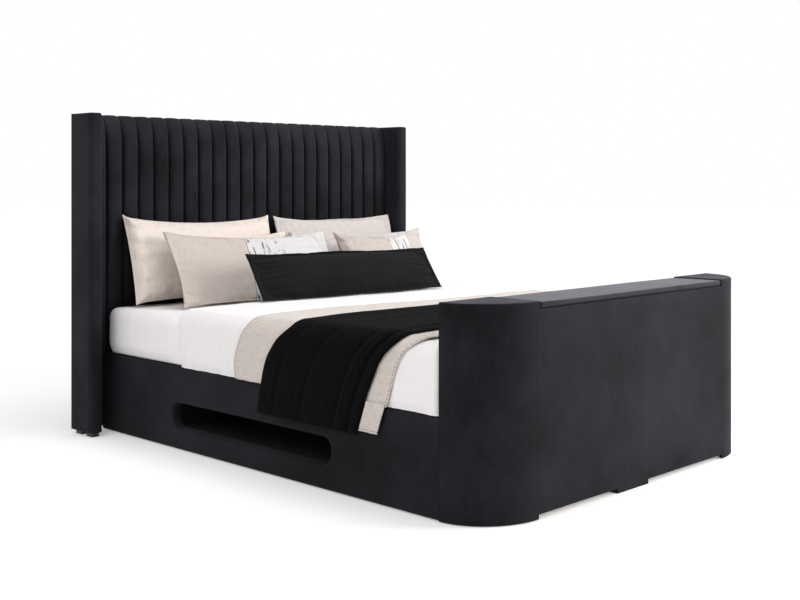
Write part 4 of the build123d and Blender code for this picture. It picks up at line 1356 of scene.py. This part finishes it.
class BED_OT_pillows(bpy.types.Operator):
    """Fills and sets the pillows, cushions and bolster"""

    bl_idname = "bed.pillows"
    bl_label = "Pillows"

    def execute(self, context):
        pressure = 2.4
        most_swelling = 0.016
        above_bed = 0.0008
        cloths = self.cloths(context.scene.bed.bedding)
        for index, (node, width, height, thickness, x, y, lean, turn, rise, cloth) in enumerate(PILLOWS):
            material, slot = cloths[cloth]
            z_low = corners(node)[0].z
            bm = self.stuffed(index, width, height, thickness)
            for vert in bm.verts:
                vert.co.z -= rise * 2 * vert.co.x / width * min(vert.co.z / height, 1)
            piece = finish_piece(node + "_cover", bm, material, nodes=(node,), slot=slot, sharp=80)
            inflate(piece, pressure, most_swelling)
            piece.data.transform(
                Matrix.Translation((x, y, z_low))
                @ Matrix.Rotation(radians(turn), 4, "Z")
                @ Matrix.Rotation(-radians(lean), 4, "X")
            )
            for vert in piece.data.vertices:
                vert.co.z = max(vert.co.z, z_low + above_bed)
            smooth = piece.modifiers.new("smooth", "SUBSURF")
            smooth.levels = 1
            smooth.render_levels = 1
        return {"FINISHED"}

    def cloths(self, bedding):
        """The materials of the pillows, each with its slot."""
        beige = toned(bedding.beige, 0.71)
        soft_black = toned(bedding.wool, 3.6)
        ground = bedding.white_linen
        left = printed_linen(
            "Printed linen left", beige, ground, width=0.900, start_share=0.42, stop_share=0.66,
        )
        right = printed_linen(
            "Printed linen right", beige, ground, width=0.520, start_share=0.55, stop_share=0.90,
        )
        return {
            "beige": (linen("Beige linen", bedding.beige), "linen"),
            "cream": (linen("Cream linen", bedding.cream), "linen"),
            "print_left": (left, "print_linen"),
            "print_right": (right, "print_linen"),
            "velvet": (velvet("Bolster velvet", bedding.wool, soft_black, patches=7.0), "black_knit"),
        }

    def stuffed(self, index, width, height, thickness):
        """A stuffed cover on its lower seam: crowned, flanged and drawn in between its corners."""
        columns = 84
        rows = 48
        flange = 0.006
        least = 0.0012
        side_pull = 0.010
        top_pull = 0.029
        bottom_pull = 0.008
        full_height = 0.4
        lump = 0.007
        wrinkle = 0.008
        before_air = 0.84
        full = thickness * before_air
        seed = index * 5.3
        pull_share = (min(height, full_height + 0.01) / full_height) ** 3

        def station(share, count, half):
            """A place from -1 to 1, with one narrow step at each end for the flange."""
            number = round(share * count)
            if number in (0, count):
                return 2 * share - 1, 1.0
            body = 2 * (number - 1) / (count - 2) - 1
            return body * (1 - flange / half), abs(body)

        def gather(share):
            """Strongest a little inside a seam, nothing on it."""
            away = 1 - share
            return min(away / 0.06, 1) * 2.718 ** (-((away / 0.34) ** 2))

        def place_side(side):
            def place(across, up):
                a, body_a = station(across, columns, width / 2)
                b, body_b = station(up, rows, height / 2)
                dome = max((1 - body_a ** 2) * (1 - body_b ** 2), 0) ** 0.40
                pull_a = side_pull * (1 - b * b)
                pull_b = (top_pull if b > 0 else bottom_pull) * (1 - a * a) * pull_share
                out = 0.5 * full * dome * (1 - 0.16 * b)
                out += lump * wave(a * 1.9 + seed, b * 1.6, seed * side) * dome
                out += wrinkle * wave(b * 7 + seed, a * 1.6, side) * gather(body_a)
                out += wrinkle * wave(a * 13 + seed, b * 1.6, side + 5) * gather(body_b)
                if max(body_a, body_b) == 1:
                    out = 0.0
                if max(abs(a), abs(b)) < 1:
                    out = max(out, least)
                x = a * (width / 2 - pull_a)
                z = b * (height / 2 - pull_b) + height / 2
                return Vector((x, side * out, z))
            return place

        bm = laid_grid(columns, rows, place_side(-1), (width, height))
        back = laid_grid(columns, rows, place_side(1), (width, height))
        mesh = bpy.data.meshes.new("half")
        back.to_mesh(mesh)
        back.free()
        bm.from_mesh(mesh)
        bpy.data.meshes.remove(mesh)
        bmesh.ops.remove_doubles(bm, verts=bm.verts, dist=0.0002)
        bmesh.ops.recalc_face_normals(bm, faces=bm.faces)
        return bm


def inflate(piece, pressure, cap):
    """Swells a closed form under air pressure and caps how far its points move."""
    scene = bpy.context.scene
    rest = [vert.co.copy() for vert in piece.data.vertices]
    cloth = piece.modifiers.new("air", "CLOTH")
    cloth.settings.quality = 5
    cloth.settings.mass = 0.3
    cloth.settings.use_pressure = True
    cloth.settings.uniform_pressure_force = pressure
    cloth.settings.effector_weights.gravity = 0
    cloth.settings.tension_stiffness = 25
    cloth.settings.compression_stiffness = 25
    cloth.settings.bending_stiffness = 0.4
    cloth.point_cache.frame_start = 1
    cloth.point_cache.frame_end = AIR_FRAMES
    for number in range(1, AIR_FRAMES + 1):
        scene.frame_set(number)
    evaluated = piece.evaluated_get(bpy.context.evaluated_depsgraph_get())
    swollen = [vert.co.copy() for vert in evaluated.data.vertices]
    piece.modifiers.remove(cloth)
    scene.frame_set(1)
    for vert, start, stop in zip(piece.data.vertices, rest, swollen):
        move = stop - start
        if move.length > cap:
            move *= cap / move.length
        vert.co = start + move


# Finishes of the frame's own nodes

class BED_OT_frame_finish(bpy.types.Operator):
    """Gives the boards, slats, irons and lift their finishes"""

    bl_idname = "bed.frame_finish"
    bl_label = "Frame finishes"

    def execute(self, context):
        board = wood(
            "Particle board", (0.30, 0.22, 0.13), (0.50, 0.38, 0.24), along_y=1.0, scale=160.0,
            roughness=0.8,
        )
        pine = wood("Pine", (0.50, 0.34, 0.18), (0.66, 0.49, 0.29), scale=34.0, roughness=0.55)
        birch = wood(
            "Birch", (0.58, 0.44, 0.27), (0.74, 0.60, 0.41), along_x=0.04, along_y=1.0, scale=44.0,
            roughness=0.45,
        )
        laminate = wood("Black laminate", (0.003,) * 3, (0.008,) * 3, along_y=0.3, scale=90.0)
        lining = moulded("Dust cloth", (0.012,) * 3, 0.9, scale=1400.0, strength=0.6)
        plastic = moulded("Black plastic", (0.018, 0.018, 0.019), 0.5)
        grey = moulded("Grey plastic", (0.09, 0.09, 0.10), 0.45)
        zinc = moulded("Zinc plate", (0.56, 0.56, 0.57), 0.32, metallic=1.0, scale=240.0, strength=0.08)
        coat = moulded("Black powder coat", (0.016, 0.016, 0.017), 0.42, scale=900.0, strength=0.3)
        blackened = moulded("Blackened hinge", (0.004,) * 3, 0.85, scale=900.0)
        column = moulded("Grey powder coat", (0.24, 0.25, 0.26), 0.40, scale=900.0, strength=0.25)
        rubber = moulded("Rubber", (0.02,) * 3, 0.8, scale=300.0)
        finishes = (
            (board, ("headboard_board", "left_wing_core", "right_wing_core", "left_rail_board",
                     "right_rail_board", "footboard_outer_board", "footboard_inner_board",
                     "footboard_floor", "footboard_partitions")),
            (pine, ("slat_ledgers", "centre_rail", "crossbars")),
            (birch, ("slats",)),
            (laminate, ("media_floor", "media_housing", "lid_board")),
            (lining, ("headboard_back_cover",)),
            (plastic, ("feet_and_glides", "slat_holders", "power_inlet")),
            (grey, ("lift_nut", "lift_gearbox", "control_box")),
            (zinc, ("corner_brackets", "bracket_bolts", "lift_spindle")),
            (coat, ("centre_legs", "lift_base_plate", "lift_motor", "tv_bracket_plate", "tv_arms")),
            (blackened, ("lid_hinge_fixed_leaf", "lid_hinge_moving_leaf", "lid_hinge_pin")),
            (column, ("lift_outer_column", "lift_middle_column", "lift_inner_column")),
            (rubber, ("lid_bumpers",)),
        )
        for material, nodes in finishes:
            for node in nodes:
                for slot in frame["nodes"][node].material_slots:
                    slot.material = material
        return {"FINISHED"}


# Studio

WHITE = (1, 1, 1, 1)
# Lamps: name, place, the point it is aimed at and the length of its side
LAMPS = (
    ("key", (3.4, -4.4, 2.2), (0.3, -1.0, 0.4), 2.4),
    ("fill", (-4.4, -0.4, 3.2), (-0.6, 0.1, 0.5), 3.0),
    ("top", (0.4, -0.6, 4.2), (0, -0.2, 0.5), 2.6),
)


class BED_OT_studio(bpy.types.Operator):
    """Sets the camera, the floor and the lamps"""

    bl_idname = "bed.studio"
    bl_label = "Studio"

    def execute(self, context):
        studio = context.scene.bed.studio
        scene = context.scene
        scene.view_settings.view_transform = "Standard"
        camera_data = bpy.data.cameras.new("camera")
        camera_data.lens = studio.lens
        camera_data.sensor_width = 36
        camera_data.shift_y = studio.rise
        camera = bpy.data.objects.new("camera", camera_data)
        camera.location = studio.camera_place
        camera.rotation_euler = (QUARTER_TURN, 0, -studio.camera_turn)
        scene.collection.objects.link(camera)
        scene.camera = camera
        self.floor(scene)
        self.room(scene, studio)
        powers = (studio.key_power, studio.fill_power, studio.top_power)
        for lamp, power in zip(LAMPS, powers):
            self.lamp(scene, *lamp, power)
        return {"FINISHED"}

    def lamp(self, scene, name, place, target, size, power):
        """A square soft box aimed at a point."""
        data = bpy.data.lights.new(name, "AREA")
        data.energy = power
        data.size = size
        lamp = bpy.data.objects.new(name, data)
        lamp.location = place
        lamp.rotation_euler = (Vector(target) - Vector(place)).to_track_quat("-Z", "Y").to_euler()
        scene.collection.objects.link(lamp)

    def room(self, scene, studio):
        """White to the camera and in reflections, and a plain even light on the bed."""
        world = bpy.data.worlds.new("room")
        world.use_nodes = True
        tree = world.node_tree
        shown = tree.nodes["Background"]
        shown.inputs["Color"].default_value = WHITE
        light = add_node(tree, "Background", Strength=studio.room_light, Color=WHITE)
        choice = add_in_order(tree, "MixShader", shown_rays(tree), light.outputs[0], shown.outputs[0])
        feed(tree, tree.nodes["World Output"].inputs["Surface"], choice)
        scene.world = world

    def floor(self, scene):
        """A white floor that keeps the bed's soft shadow and glows more the further it is from it."""
        half_side = 40
        glow_from, glow_to = 1.6, 7.0
        glow_near, glow_far = 0.27, 0.52
        bm = bmesh.new()
        bmesh.ops.create_grid(bm, x_segments=1, y_segments=1, size=half_side)
        mesh = bpy.data.meshes.new("floor")
        bm.to_mesh(mesh)
        bm.free()
        floor_piece = bpy.data.objects.new("floor", mesh)
        scene.collection.objects.link(floor_piece)
        material, tree, shader = start_material(
            "Floor", Base_Color=(0.85, 0.85, 0.85, 1), Roughness=0.9, Specular_IOR_Level=0.0,
        )
        away = add_node(tree, "VectorMath", operation="LENGTH")
        feed(tree, away.inputs[0], object_place(tree))
        level = ranged(
            tree, away.outputs["Value"], glow_from, glow_to, To_Min=glow_near, To_Max=glow_far,
        )
        glow = add_node(tree, "Emission", Strength=1.0, Color=level).outputs[0]
        dark = add_node(tree, "Emission", Strength=0.0).outputs[0]
        seen = add_in_order(tree, "MixShader", shown_rays(tree), dark, glow)
        total = add_in_order(tree, "AddShader", shader.outputs[0], seen)
        feed(tree, tree.nodes["Material Output"].inputs["Surface"], total)
        mesh.materials.append(material)


STEPS = (
    BED_OT_studio, BED_OT_frame_finish, BED_OT_headboard, BED_OT_rails, BED_OT_footboard,
    BED_OT_mattress, BED_OT_duvet, BED_OT_bedspread, BED_OT_throw, BED_OT_pillows,
)


class BED_PT_panel(bpy.types.Panel):
    """Lists the steps of the bed"""

    bl_idname = "BED_PT_panel"
    bl_label = "Television Bed"
    bl_space_type = "VIEW_3D"
    bl_region_type = "UI"
    bl_category = "Bed"

    def draw(self, context):
        for step in STEPS:
            self.layout.operator(step.bl_idname)


CLASSES = (
    BedStudioSettings, BedUpholsterySettings, BedBeddingSettings, BedSettings, *STEPS, BED_PT_panel,
)


def register():
    """Registers the classes and the bed's settings."""
    for kind in CLASSES:
        bpy.utils.register_class(kind)
    bpy.types.Scene.bed = PointerProperty(type=BedSettings)


def unregister():
    """Removes the settings and the classes."""
    del bpy.types.Scene.bed
    for kind in reversed(CLASSES):
        bpy.utils.unregister_class(kind)


def main():
    """Makes the bed step by step."""
    register()
    bpy.ops.bed.studio()
    bpy.ops.bed.frame_finish()
    bpy.ops.bed.headboard()
    bpy.ops.bed.rails()
    bpy.ops.bed.footboard()
    bpy.ops.bed.mattress()
    bpy.ops.bed.duvet()
    bpy.ops.bed.bedspread()
    bpy.ops.bed.throw()
    bpy.ops.bed.pillows()


if __name__ == "__main__":
    main()
